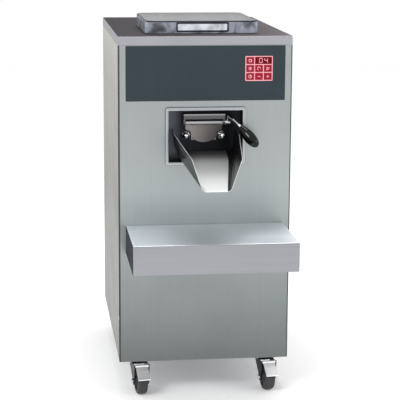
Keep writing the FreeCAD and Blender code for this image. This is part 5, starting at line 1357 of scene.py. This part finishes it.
# ---- chute and shelf -----------------------------------------------------------------------
@dataclass
class Chute:
    """Polished trough that hangs out of the hatch.

    A station gives its place along Y, half width and height of the floor, half width and height
    of the rim, and the radius of the bend between floor and side.
    """

    sheet: float = 1.5 * MM
    back: float = -205 * MM
    stations: tuple[tuple[float, ...], ...] = (
        mm(-205, 82, 724, 91, 790, 22), mm(-285, 77, 709, 92, 784, 22), mm(-505, 38, 661, 68, 750, 15))
    steps: int = 9
    core_height: float = 830 * MM
    rim_low: float = 745 * MM
    rim_rise: float = 0.55
    floor_rise: float = 0.3
    floor_lean: float = 0.12
    passages: tuple[tuple[float, float, float, float], ...] = (
        mm(-36.3, 36.3, 756.7, 810), mm(-54.3, 54.3, 788.5, 810))

    def section(self, depth: float) -> list[Vector]:
        """U outline of the trough at one depth, on its inner side.

        Args:
            depth: Place along Y.

        Returns:
            The outline from one rim to the other.
        """
        first, second = self.stations[:2] if depth > self.stations[1][0] else self.stations[1:]
        share = (depth - first[0]) / (second[0] - first[0])
        floor_half, floor_z, rim_half, rim_z, bend = (
            a + (b - a) * share for a, b in zip(first[1:], second[1:]))
        corners = [(-rim_half, rim_z), (-floor_half, floor_z), (floor_half, floor_z), (rim_half, rim_z)]
        return bent_line([Vector((x, depth, z)) for x, z in corners], bend, 10)

    def build(self) -> None:
        """Makes the trough and its back flange."""
        start, middle, end = (station[0] for station in self.stations)
        depths = [start + (middle - start) * step / 3 for step in range(3)]
        depths += [middle + (end - middle) * step / self.steps for step in range(self.steps + 1)]
        bm = bmesh.new()
        chains = []
        for depth in depths:
            verts = [bm.verts.new(point) for point in self.section(depth)]
            chains.append([bm.edges.new(pair) for pair in zip(verts, verts[1:])])
        for first, second in zip(chains, chains[1:]):
            bmesh.ops.bridge_loops(bm, edges=first + second)
        bm.normal_update()
        for face in bm.faces:
            centre = face.calc_center_median()
            if face.normal.dot(Vector((0, centre.y, self.core_height)) - centre) < 0:
                face.normal_flip()
        thicken(bm, self.sheet)
        soften(bm, 0.5 * MM, lambda point: True, 2)
        shape = Shape().add(bm, self.shade_slot_of)
        flange = bmesh.new()
        flange.faces.new([flange.verts.new(point) for point in self.section(self.back - self.sheet)])
        face_towards(flange, (0, -1, 0))
        for left, right, low, high in self.passages:
            cut_window(flange, (0, -1, 0), [(0, left, right), (2, low, high)])
        # The back flange wears the recess's painted shade.
        shape.add(thicken(flange, self.sheet * 0.9), 3)
        shape.finish("chute_trough", "root", [Finishes.CHUTE, Finishes.CHUTE_SIDE_SHADED, Finishes.CHUTE_OUTSIDE_SHADED,
                                              Finishes.RECESS_SHADED], "polished_steel", ["discharge_chute"])

    def shade_slot_of(self, face: bmesh.types.BMFace) -> int:
        """Slot of a face by painted light: bright floor with ends and rims, shaded inner sides or outside.

        The floor takes in the whole bend on the left, and on the right only what leans less than
        its limit.
        """
        normal, centre = face.normal, face.calc_center_median()
        rim = normal.z > self.rim_rise and centre.z > self.rim_low
        # On the right, the part of the bend leaning past the limit goes to the dark sides: a painted
        # reflection.
        floor = normal.z > self.floor_rise and normal.x > -self.floor_lean
        if rim or floor or abs(normal.y) > 0.8:
            return 0
        return 1 if normal.x * centre.x < 0 else 2


@dataclass
class Shelf:
    """Box shelf folded from one sheet, screwed to the front."""

    sheet: float = 1.5 * MM
    bend: float = 3.0 * MM
    flange: float = 40 * MM

    def build(self) -> None:
        """Makes the shelf with its back flange."""
        low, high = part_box("shelf")
        bm = open_box(low, high, (0, 0, -1), self.bend)
        cut_window(bm, (0, 1, 0), [(0, low.x + self.bend, high.x - self.bend),
                                   (2, low.z - MM, high.z - self.flange)])
        Shape().add(thicken(bm, self.sheet), self.shade_slot_of).finish(
            "box_shelf", "root", [Finishes.SHELF_TOP_LIT, Finishes.SHELF, Finishes.SHELF_END_SHADED], "shelf_steel",
            ["shelf"])

    @staticmethod
    def shade_slot_of(face: bmesh.types.BMFace) -> int:
        """Slot of a face, as painted light and shade: lit top, front, or shaded end."""
        if face.normal.z > 0.7:
            return 0
        return 2 if abs(face.normal.x) > 0.7 else 1


# ---- lid -----------------------------------------------------------------------------------
@dataclass
class Lid:
    """Clear box lid with its gasket and its two hinges."""

    corner: float = 30 * MM
    wall: float = 4 * MM
    top_bend: float = 6 * MM
    gasket: float = 1.7 * MM
    frame_half: float = 76 * MM
    frame_height: float = 27 * MM
    frame_bar: float = 4 * MM
    frame_proud: float = 2.5 * MM
    hinge: Point = mm(0, 188, 1067)
    hinge_x: float = 110 * MM
    knuckle: float = 5.5 * MM
    knuckle_half: float = 15 * MM
    ear: float = 6 * MM

    def build(self) -> None:
        """Makes the lid, its gasket and its brackets."""
        self.shell()
        self.seal()
        self.brackets()

    def outline(self, inset: float) -> list[Flat]:
        """Rounded outline of the lid, some way inside its edge."""
        low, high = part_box("lid_gasket")
        half = (high - low) / 2
        return rounded_outline(half.x - inset, half.y - inset, self.corner - inset)

    def shell(self) -> None:
        """Moulded shell with a rolled top edge, a framed front and hinge knuckles."""
        low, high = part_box("clear_lid")
        seal_low, seal_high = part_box("lid_gasket")
        middle = (seal_low.y + seal_high.y) / 2
        bm = bmesh.new()
        top = bm.faces.new([bm.verts.new((x, middle + y, high.z)) for x, y in self.outline(0.0)])
        grown = bmesh.ops.extrude_edge_only(bm, edges=list(top.edges))
        moved = [item for item in grown["geom"] if isinstance(item, bmesh.types.BMVert)]
        bmesh.ops.translate(bm, verts=moved, vec=(0, 0, low.z - high.z))
        round_edges(bm, list(top.edges), self.top_bend, 5)
        face_out_of(bm, (0, middle, low.z))

        def part_of(face: bmesh.types.BMFace) -> int:
            """Slot of a face: top, upright wall with painted reflection, or rolled edge with painted shade.
            """
            rise = abs(face.normal.z)
            return 0 if rise > 0.97 else 1 if rise < 0.2 else 2

        shape = Shape().add(thicken(bm, self.wall), part_of)
        centre_z = (low.z + high.z) / 2
        bar, front = self.frame_bar, seal_low.y - self.frame_proud
        half_z = self.frame_height / 2
        inner, inner_z = self.frame_half - bar, half_z - bar
        sheet = ring_sheet(rounded_outline(self.frame_half, half_z, 3 * MM),
                           rounded_outline(inner, inner_z, 1.5 * MM), lambda x, z: (x, front, centre_z + z))
        thicken(face_towards(sheet, (0, -1, 0)), self.frame_proud + 0.2 * MM)
        # The front frame takes the dark edge finish: painted shade.
        shape.add(soften(sheet, 0.8 * MM, lambda point: point.y < front + 0.1 * MM), 2)
        shape.box((-inner, seal_low.y - 0.8 * MM, centre_z - inner_z),
                  (inner, seal_low.y, centre_z + inner_z), 0.3 * MM, slot=3)
        _, y, z = self.hinge
        for side in (-1, 1):
            left = side * self.hinge_x - self.knuckle_half
            right = left + 2 * self.knuckle_half
            shape.bar((left, y, z), (right, y, z), self.knuckle, 0.6 * MM)
            shape.box((left, seal_high.y - MM, z), (right, y, z + self.knuckle), 0.6 * MM)
        shape.finish("lid_shell", "lid", [Finishes.LID, Finishes.LID_WALL_LIT, Finishes.LID_EDGE_SHADE,
                                          Finishes.LID_FRAME], "clear_plastic", ["clear_lid"])

    def seal(self) -> None:
        """Rubber frame under the lid, with a soft bead."""
        low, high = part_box("lid_gasket")
        middle = (low.y + high.y) / 2
        bm = ring_sheet(self.outline(0.0), self.outline(self.wall + MM), lambda x, y: (x, middle + y, high.z))
        thicken(face_towards(bm, (0, 0, 1)), self.gasket)
        soften(bm, 0.5 * MM, lambda point: True)
        Shape().add(bm).finish("lid_seal", "root", [Finishes.RUBBER], "black_rubber", ["lid_gasket"])

    def brackets(self) -> None:
        """Two folded brackets with ears, pins and foot screws."""
        low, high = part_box("lid_hinge_brackets")
        _, y, z = self.hinge
        shape = Shape()
        for side in (-1, 1):
            centre = side * self.hinge_x
            inner = self.knuckle_half + 0.3 * MM
            outer = inner + self.ear
            shape.bar((centre - outer, y, z), (centre + outer, y, z), 2.5 * MM, 0.4 * MM)
            for left in (centre - outer, centre + inner):
                shape.bar((left, y, z), (left + self.ear, y, z), self.knuckle, 0.6 * MM)
                shape.box((left, y - self.knuckle, low.z), (left + self.ear, y + self.knuckle, z), 0.8 * MM)
            foot_front = y + self.knuckle + 0.3 * MM
            shape.box((centre - outer, foot_front, low.z), (centre + outer, high.y, low.z + 1.5 * MM),
                      0.6 * MM)
            for turn in (-1, 1):
                place = Vector((centre + turn * 12 * MM, (foot_front + high.y) / 2, low.z + 1.5 * MM))
                shape.bar(place, place + Vector((0, 0, 1.8 * MM)), 3.4 * MM, 0.8 * MM)
        shape.finish("lid_brackets", "root", [Finishes.SATIN], "satin_steel", ["lid_hinge_brackets"])


# ---- freezing cylinder and dasher ----------------------------------------------------------
@dataclass
class FreezingCylinder:
    """Upright vessel with the dasher that turns in it."""

    phase: float = 90.0
    bars: int = 3
    hub_radius: float = 22 * MM
    bar_outer: float = 138 * MM
    bar_width: float = 16 * MM
    bar_thick: float = 10 * MM
    arm_height: float = 12 * MM
    blade_outer: float = 149.1 * MM
    blade_thick: float = 4 * MM
    shaft_radius: float = 15.1 * MM

    def build(self) -> None:
        """Makes the dasher and its blades, and dresses the vessel."""
        self.dasher()
        for node, finish, slot in (
                ("freezing_cylinder", Finishes.VESSEL, "satin_steel"),
                ("evaporator_coil", Finishes.COPPER, "copper"),
                ("cylinder_insulation", Finishes.FOAM, "foam"),
                ("shaft_seal", Finishes.RUBBER, "black_rubber"),
                ("drive_shaft", Finishes.SATIN, "satin_steel")):
            dress(node, finish)

    def dasher(self) -> None:
        """Hub with a domed cap, three bars on arms, and a plastic blade on each bar."""
        low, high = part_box("dasher")
        centre = Matrix.Translation((0, middle_of_cylinder().y, 0))
        half = self.bar_thick / 2
        frame_shape, blades = Shape(), Shape()
        hub = [(self.shaft_radius, low.z), (self.hub_radius, low.z), (self.hub_radius, high.z - 8 * MM),
               (self.hub_radius * 0.8, high.z - 2 * MM), (self.hub_radius * 0.4, high.z), (0, high.z)]
        frame_shape.lathe(hub, (0, 0, 0), (0, 0, 1), 48)
        upper = high.z - 2 * self.arm_height
        for index in range(self.bars):
            turn = Matrix.Rotation(math.radians(self.phase) + math.tau * index / self.bars, 4, "Z")
            for foot in (low.z, upper):
                frame_shape.box((0.8 * self.hub_radius, -half, foot),
                                (self.bar_outer, half, foot + self.arm_height), 1.5 * MM, turn=turn)
            frame_shape.box((self.bar_outer - self.bar_width, -half, low.z),
                            (self.bar_outer, half, high.z - self.arm_height), 1.5 * MM, turn=turn)
            blades.box((self.bar_outer - 12 * MM, half, low.z),
                       (self.blade_outer, half + self.blade_thick, high.z - self.arm_height), 1.0 * MM,
                       turn=turn)
            for share in (0.15, 0.5, 0.85):
                rise = low.z + (high.z - self.arm_height - low.z) * share
                place = turn @ Vector((self.bar_outer - 6 * MM, half + self.blade_thick, rise))
                out = turn.to_3x3() @ Vector((0, 1, 0))
                blades.bar(place, place + out * 1.5 * MM, 3 * MM, 0.5 * MM, slot=1)
        frame_shape.turned(centre).finish("dasher_frame", "dasher_assembly", [Finishes.SATIN], "satin_steel",
                                          ["dasher"])
        blades.turned(centre).finish("blades", "dasher_assembly", [Finishes.BLADE, Finishes.SATIN],
                                     "white_plastic", ["scraper_blades"])


# ---- machine room --------------------------------------------------------------------------
@dataclass(frozen=True)
class MachineRoom:
    """Drive and refrigeration behind the panels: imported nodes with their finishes."""

    wear: tuple[tuple[str, Finish, str], ...]

    def build(self) -> None:
        """Dresses every node of the machine room."""
        for node, finish, slot in self.wear:
            dress(node, finish)


@dataclass
class RearConnections:
    """Water stubs with hose beads, and the cable gland."""

    water_bead: float = 13.2 * MM
    water_bore: float = 9 * MM
    water_nut: float = 18 * MM
    gland_bore: float = 5 * MM
    gland_radius: float = 12 * MM
    gland_nut: float = 16 * MM
    nut_thick: float = 8 * MM

    def build(self) -> None:
        """Makes the fittings that stand out of the rear panel."""
        self.water()
        self.gland()

    def water(self) -> None:
        """Two brass stubs with nuts inside and outside."""
        low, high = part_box("water_fittings")
        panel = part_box("rear_panel")[1].y
        radius, bore, across = self.water_bead, self.water_bore, self.water_nut
        middle_z = (low.z + high.z) / 2
        length = high.y - low.y
        shape = Shape()
        for x in (low.x + across, high.x - across):
            shape.lathe([(bore, 8 * MM), (radius, 0), (radius, length - 3 * MM), (radius - MM, length),
                         (bore + 0.5 * MM, length), (bore, length - MM), (bore, 8 * MM)],
                        (x, low.y, middle_z), (0, 1, 0), 48)
            shape.bar((x, low.y, middle_z), (x, low.y + 8 * MM, middle_z), radius - 0.5 * MM, 0.5 * MM)
            self.nut_pair(shape, x, panel, middle_z, across)
        shape.finish("water_stubs", "root", [Finishes.BRASS], "brass_fitting", ["water_fittings"])

    def nut_pair(self, shape: Shape, x: float, panel: float, z: float, across: float) -> None:
        """Adds a nut outside the rear panel and one inside it."""
        for start in (panel, panel - self.nut_thick - 1.5 * MM):
            shape.nut((x, start, z), (x, start + self.nut_thick, z), across)

    def gland(self) -> None:
        """Plastic gland with a ribbed dome nut."""
        low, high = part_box("cable_gland")
        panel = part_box("rear_panel")[1].y
        x, z = (low.x + high.x) / 2, (low.z + high.z) / 2
        bore, radius = self.gland_bore, self.gland_radius
        reach = high.y - panel
        shape = Shape().lathe([(bore, -16 * MM), (radius, -16 * MM), (radius, reach - 5 * MM),
                               (radius * 0.85, reach - 1.5 * MM), (radius * 0.6, reach), (bore, reach),
                               (bore, -16 * MM)], (x, panel, z), (0, 1, 0), 48)
        self.nut_pair(shape, x, panel, z, self.gland_nut)
        for step in range(16):
            turn = math.tau * step / 16
            out = Vector((math.cos(turn), 0, math.sin(turn))) * (radius - 0.2 * MM)
            shape.bar(Vector((x, panel + 8 * MM, z)) + out, Vector((x, panel + reach - 5 * MM, z)) + out,
                      0.7 * MM, steps=8)
        shape.finish("gland", "root", [Finishes.GREY_PLASTIC], "grey_plastic", ["cable_gland"])


# ---- casters -------------------------------------------------------------------------------
@dataclass
class Caster:
    """Swivel caster: plate, fork, wheel and, in front, a brake pedal.

    Each piece is shaped with its kingpin on the Z axis and its wheel towards +X, then set at its
    corner of the cabinet.
    """

    name: str
    place: Point
    braked: bool
    turn: float = math.radians(-83)
    trail: float = 34 * MM
    wheel_radius: float = 40 * MM
    wheel_half: float = 15 * MM
    fork_half: float = 23 * MM
    plate_thick: float = 2.5 * MM
    yoke: float = 88 * MM
    yoke_half: float = 24 * MM
    nose: float = 13 * MM
    race: float = 27 * MM
    race_top: float = 96.5 * MM
    pivot: Point = mm(48.5, 0, 88)
    slope: float = math.radians(36)
    pedal_length: float = 50 * MM
    pedal_half: float = 18 * MM
    eye: float = 4.5 * MM
    dish: float = 28 * MM
    wheel_bore: float = 4.1 * MM
    hub_radius: float = 11 * MM
    hub_half: float = 19.9 * MM
    spokes: int = 6
    grip_ribs: int = 5

    def setting(self) -> Matrix:
        """Matrix that sets a piece at its corner."""
        return Matrix.Translation(Vector(self.place)) @ Matrix.Rotation(self.turn, 4, "Z")

    def build(self) -> None:
        """Makes the fork, the wheel and the pedal."""
        self.fork()
        self.wheel()
        if self.braked:
            self.pedal()

    def fork(self) -> None:
        """Pressed yoke with two cheeks, its bearing race and the axle bolt."""
        shape = Shape()
        top = self.yoke + self.plate_thick
        shape.box((-self.yoke_half, -self.fork_half, self.yoke), (self.yoke_half, self.fork_half, top),
                  1.2 * MM)
        race = self.race
        shape.lathe([(7 * MM, self.yoke + MM), (race, self.yoke + MM), (race, self.yoke + 4.5 * MM),
                     (race - 1.5 * MM, self.yoke + 5 * MM), (race - 1.5 * MM, self.race_top - 1.2 * MM),
                     (race - 3 * MM, self.race_top), (7 * MM, self.race_top), (7 * MM, self.yoke + MM)],
                    (0, 0, 0), (0, 0, 1), 56)
        for side in (-1, 1):
            face = side * self.fork_half
            shape.prism(self.cheek(face), (0, -side * self.plate_thick, 0), 0.7 * MM)
            hub = Vector((self.trail, face, self.wheel_radius))
            out = Vector((0, side, 0))
            shape.nut(hub, hub + out * 5.4 * MM, 7 * MM, slot=1)
            shape.bar(hub + out * 5 * MM, hub + out * 6 * MM, 3.6 * MM, 0.5 * MM, slot=1)
        shape.bar((self.trail, -self.fork_half, self.wheel_radius),
                  (self.trail, self.fork_half, self.wheel_radius), 4 * MM, slot=1)
        shape.turned(self.setting()).finish(
            f"fork_frame_{self.name}", f"fork_{self.name}", [Finishes.BLACK_PAINT, Finishes.ZINC],
            "black_paint", [f"caster_fork_{self.name}"])

    def cheek(self, face: float) -> list[Vector]:
        """Outline of a cheek: straight back, swept front, and a round nose at the axle."""
        high = self.yoke + 1.2 * MM
        outline = [(-self.yoke_half, high)]
        if self.braked:
            eye_x, _, eye_z = self.pivot
            outline.append((eye_x - self.eye, high))
            outline += arc(eye_x, eye_z, self.eye, range(75, -61, -15))
        else:
            outline.append((self.yoke_half + self.nose, high))
        outline += arc(self.trail, self.wheel_radius, self.nose, range(15, -196, -15))
        return [Vector((x, face, z)) for x, z in outline]

    def wheel(self) -> None:
        """Rubber tyre on a dished hub with ribs."""
        shape = Shape()
        half, radius, dish = self.wheel_half, self.wheel_radius, self.dish
        hub, hub_half, web = self.hub_radius, self.hub_half, half - 5 * MM
        tyre = [(dish, -half), (radius - 6 * MM, -half), (radius - 2.2 * MM, -half + 1.6 * MM),
                (radius - 0.5 * MM, -half + 4.5 * MM), (radius, -half + 8 * MM)]
        core = [(self.wheel_bore, -hub_half), (hub - 1.4 * MM, -hub_half), (hub, -hub_half + 1.4 * MM),
                (hub, -web), (dish, -web)]
        for slot, (lower, steps) in enumerate(((tyre, 96), (core, 64))):
            upper = [(across, -height) for across, height in reversed(lower)]
            shape.lathe(lower + upper + lower[:1], (0, 0, 0), (0, 1, 0), steps, slot=slot)
        for step in range(self.spokes):
            turn = Matrix.Rotation(math.tau * step / self.spokes, 4, "Y")
            for side in (-1, 1):
                low, high = sorted((side * (web - 0.5 * MM), side * (web + 3 * MM)))
                shape.box((10 * MM, low, -1.5 * MM), (dish + 0.5 * MM, high, 1.5 * MM), 0.6 * MM, slot=1,
                          turn=turn)
        axle = Matrix.Translation((self.trail, 0, self.wheel_radius))
        shape.turned(self.setting() @ axle).finish(
            f"tyre_{self.name}", f"wheel_{self.name}", [Finishes.TREAD, Finishes.HUB], "wheel_rubber",
            [f"caster_wheel_{self.name}"])

    def pedal(self) -> None:
        """Bright pressed pedal with a rolled toe, grip ribs and its pivot pin."""
        shape = Shape()
        x, _, z = self.pivot
        half = self.fork_half - self.plate_thick - 0.3 * MM
        shape.bar((x, -half, z), (x, half, z), 4.2 * MM, 0.5 * MM)
        shape.bar((x, -self.fork_half, z), (x, self.fork_half, z), 2 * MM, 0.4 * MM)
        tilt = Matrix.Translation((x, 0, z)) @ Matrix.Rotation(self.slope, 4, "Y")
        length, across = self.pedal_length, self.pedal_half
        shape.box((0, -across, -1.25 * MM), (length, across, 1.25 * MM), 0.8 * MM, turn=tilt)
        toe = [tilt @ Vector((length, side * across, 0)) for side in (-1, 1)]
        shape.bar(toe[0], toe[1], 2.5 * MM, 0.6 * MM)
        for step in range(self.grip_ribs):
            shape.box(mm(16 + 6 * step, -14, 1), mm(18.4 + 6 * step, 14, 1.7), 0.4 * MM, turn=tilt)
        shape.turned(self.setting()).finish(f"pedal_{self.name}", f"brake_{self.name}", [Finishes.PEDAL],
                                            "zinc", [f"brake_pedal_{self.name}"])


@dataclass
class Casters:
    """The four casters and the plates that carry them."""

    places: dict[str, Point] = field(default_factory=lambda: {
        "front_left": mm(-190, -194, 0), "front_right": mm(190, -194, 0),
        "rear_left": mm(-190, 430, 0), "rear_right": mm(190, 430, 0)})
    plate_half: float = 34 * MM
    plate_corner: float = 6 * MM
    plate_low: float = 99 * MM
    plate_high: float = 105 * MM
    kingpin_low: float = 82 * MM
    kingpin_radius: float = 6 * MM
    bolt_place: float = 25.5 * MM

    def build(self) -> None:
        """Makes the plates and every caster."""
        self.plates()
        for name, place in self.places.items():
            Caster(name, place, name.startswith("front")).build()

    def plates(self) -> None:
        """Four mounting plates with bolts and kingpins."""
        shape = Shape()
        corners = rounded_outline(self.plate_half, self.plate_half, self.plate_corner)
        for x, y, _ in self.places.values():
            outline = [(x + px, y + py, self.plate_low) for px, py in corners]
            shape.prism(outline, (0, 0, self.plate_high - self.plate_low), 0.8 * MM)
            shape.bar((x, y, self.kingpin_low), (x, y, self.plate_low), self.kingpin_radius)
            shape.nut((x, y, self.kingpin_low), (x, y, self.kingpin_low + 5.7 * MM), 10 * MM, slot=1)
            for across in (-1, 1):
                for along in (-1, 1):
                    bolt = Vector((x + across * self.bolt_place, y + along * self.bolt_place,
                                   self.plate_low))
                    shape.nut(bolt - Vector((0, 0, 4 * MM)), bolt, 5 * MM, slot=1)
        shape.finish("mounting_plates", "root", [Finishes.BLACK_PAINT, Finishes.ZINC], "black_paint",
                     ["caster_plates"])


# ---- studio --------------------------------------------------------------------------------
@dataclass
class Lamp:
    """One soft area lamp that looks at a point of the machine."""

    name: str
    place: Point
    target: Point
    size: float
    power: float

    def build(self) -> None:
        """Adds the lamp."""
        light = bpy.data.lights.new(self.name, "AREA")
        light.shape = "DISK"
        light.size = self.size
        light.energy = self.power
        holder = bpy.data.objects.new(self.name, light)
        holder.matrix_world = axis_matrix(self.place, Vector(self.place) - Vector(self.target))
        bpy.context.scene.collection.objects.link(holder)


@dataclass
class Studio:
    """Plain white surroundings with a pale floor and soft lamps."""

    ambient: float = 0.92
    mirrored: float = 0.95
    white: tuple[float, ...] = (1.0, 1.0, 1.0, 1.0)
    low_band: tuple[float, tuple[float, ...]] = (0.30, (0.18, 0.18, 0.19, 1.0))
    high_band: tuple[float, tuple[float, ...]] = (0.62, (1.0, 1.0, 1.0, 1.0))
    floor_half: float = 9.0
    lamps: tuple[Lamp, ...] = (
        Lamp("key", (-2.6, -3.2, 3.4), (0.0, 0.0, 0.6), 1.8, 90.0),
        Lamp("fill", (3.4, -3.0, 1.8), (0.0, 0.0, 0.6), 2.4, 30.0),
        Lamp("over", (0.2, 0.4, 3.6), (0.0, 0.0, 1.0), 1.6, 40.0),
    )

    def build(self) -> None:
        """Adds the surroundings, the floor and the lamps."""
        self.surroundings()
        self.floor()
        for lamp in self.lamps:
            lamp.build()

    def surroundings(self) -> None:
        """World that is white to the camera, bright in reflections and softer as a light."""
        world = bpy.data.worlds.new("surroundings")
        world.use_nodes = True
        bpy.context.scene.world = world
        tree = world.node_tree
        back = tree.nodes["Background"]
        rays = wire(tree, "LightPath", {}).outputs
        place = wire(tree, "TexCoord", {}).outputs["Generated"]
        split = wire(tree, "SeparateXYZ", {0: place})
        height = wire(tree, "MapRange", {"Value": split.outputs["Z"], "From Min": -1.0})
        band = wire(tree, "ValToRGB", {"Fac": height.outputs["Result"]})
        low, high = band.color_ramp.elements
        low.position, low.color = self.low_band
        high.position, high.color = self.high_band
        level = wire(tree, "Mix", {"A": self.ambient, "B": self.mirrored, "Factor": rays["Is Glossy Ray"]},
                     data_type="FLOAT")
        gleam = wire(tree, "Mix", {"A": self.white, "B": band.outputs["Color"],
                                   "Factor": rays["Is Glossy Ray"]}, data_type="RGBA")
        fill_inputs(tree, back, {"Color": gleam.outputs["Result"], "Strength": level.outputs["Result"]})
        white = wire(tree, "Background", {"Color": self.white})
        seen = wire(tree, "Math", {0: rays["Is Camera Ray"], 1: rays["Is Transmission Ray"]},
                    operation="MAXIMUM")
        choice = wire(tree, "MixShader", {"Fac": seen.outputs[0], 1: back.outputs["Background"],
                                          2: white.outputs["Background"]})
        fill_inputs(tree, tree.nodes["World Output"], {"Surface": choice.outputs["Shader"]})

    def floor(self) -> None:
        """Wide pale floor."""
        mesh = bpy.data.meshes.new("floor")
        bm = bmesh.new()
        bmesh.ops.create_grid(bm, x_segments=8, y_segments=8, size=self.floor_half)
        bm.to_mesh(mesh)
        bm.free()
        mesh.materials.append(Finishes.FLOOR.material())
        holder = bpy.data.objects.new("floor", mesh)
        bpy.context.scene.collection.objects.link(holder)


@dataclass
class Camera:
    """Camera in front, a little to the left, looking slightly down."""

    place: Point = (-0.5183, -4.2757, 1.4081)
    yaw: float = math.radians(7.13)
    pitch: float = math.radians(11.44)
    roll: float = math.radians(0.34)
    lens: float = 128.7
    sensor: float = 36.0

    def build(self) -> None:
        """Adds the camera and makes it the scene's own."""
        forward = Vector((math.sin(self.yaw) * math.cos(self.pitch),
                          math.cos(self.yaw) * math.cos(self.pitch), -math.sin(self.pitch)))
        level = Vector((math.cos(self.yaw), -math.sin(self.yaw), 0.0))
        upward = level.cross(forward)
        right = level * math.cos(self.roll) + upward * math.sin(self.roll)
        upward = upward * math.cos(self.roll) - level * math.sin(self.roll)
        data = bpy.data.cameras.new("camera")
        data.lens = self.lens
        data.sensor_width = self.sensor
        holder = bpy.data.objects.new("camera", data)
        turn = Matrix((right, upward, -forward)).transposed().to_4x4()
        holder.matrix_world = Matrix.Translation(Vector(self.place)) @ turn
        bpy.context.scene.collection.objects.link(holder)
        bpy.context.scene.camera = holder


def main() -> None:
    """Builds every sub-assembly, the studio and the camera."""
    logging.basicConfig(level=logging.INFO, format="%(name)s: %(message)s")
    room = MachineRoom((
        ("bearing_housing", Finishes.CASTING, "casting"), ("shaft_bearings", Finishes.ZINC, "zinc"),
        ("drive_motor", Finishes.MOTOR, "motor_paint"), ("drive_belt", Finishes.RUBBER, "black_rubber"),
        ("driven_pulley", Finishes.CASTING, "pulley_metal"),
        ("motor_pulley", Finishes.CASTING, "pulley_metal"),
        ("compressor", Finishes.BLACK_PAINT, "black_paint"), ("condenser_coil", Finishes.COPPER, "copper"),
        ("refrigerant_pipes", Finishes.COPPER, "copper"),
    ))
    for part in (Casing(), ControlPanel(), Hatch(), Chute(), Shelf(), Lid(), FreezingCylinder(), room,
                 RearConnections(), Casters(), Studio(), Camera()):
        LOG.info("building %s", type(part).__name__)
        part.build()
    bpy.context.scene.view_settings.view_transform = "Standard"


if __name__ == "__main__":
    main()
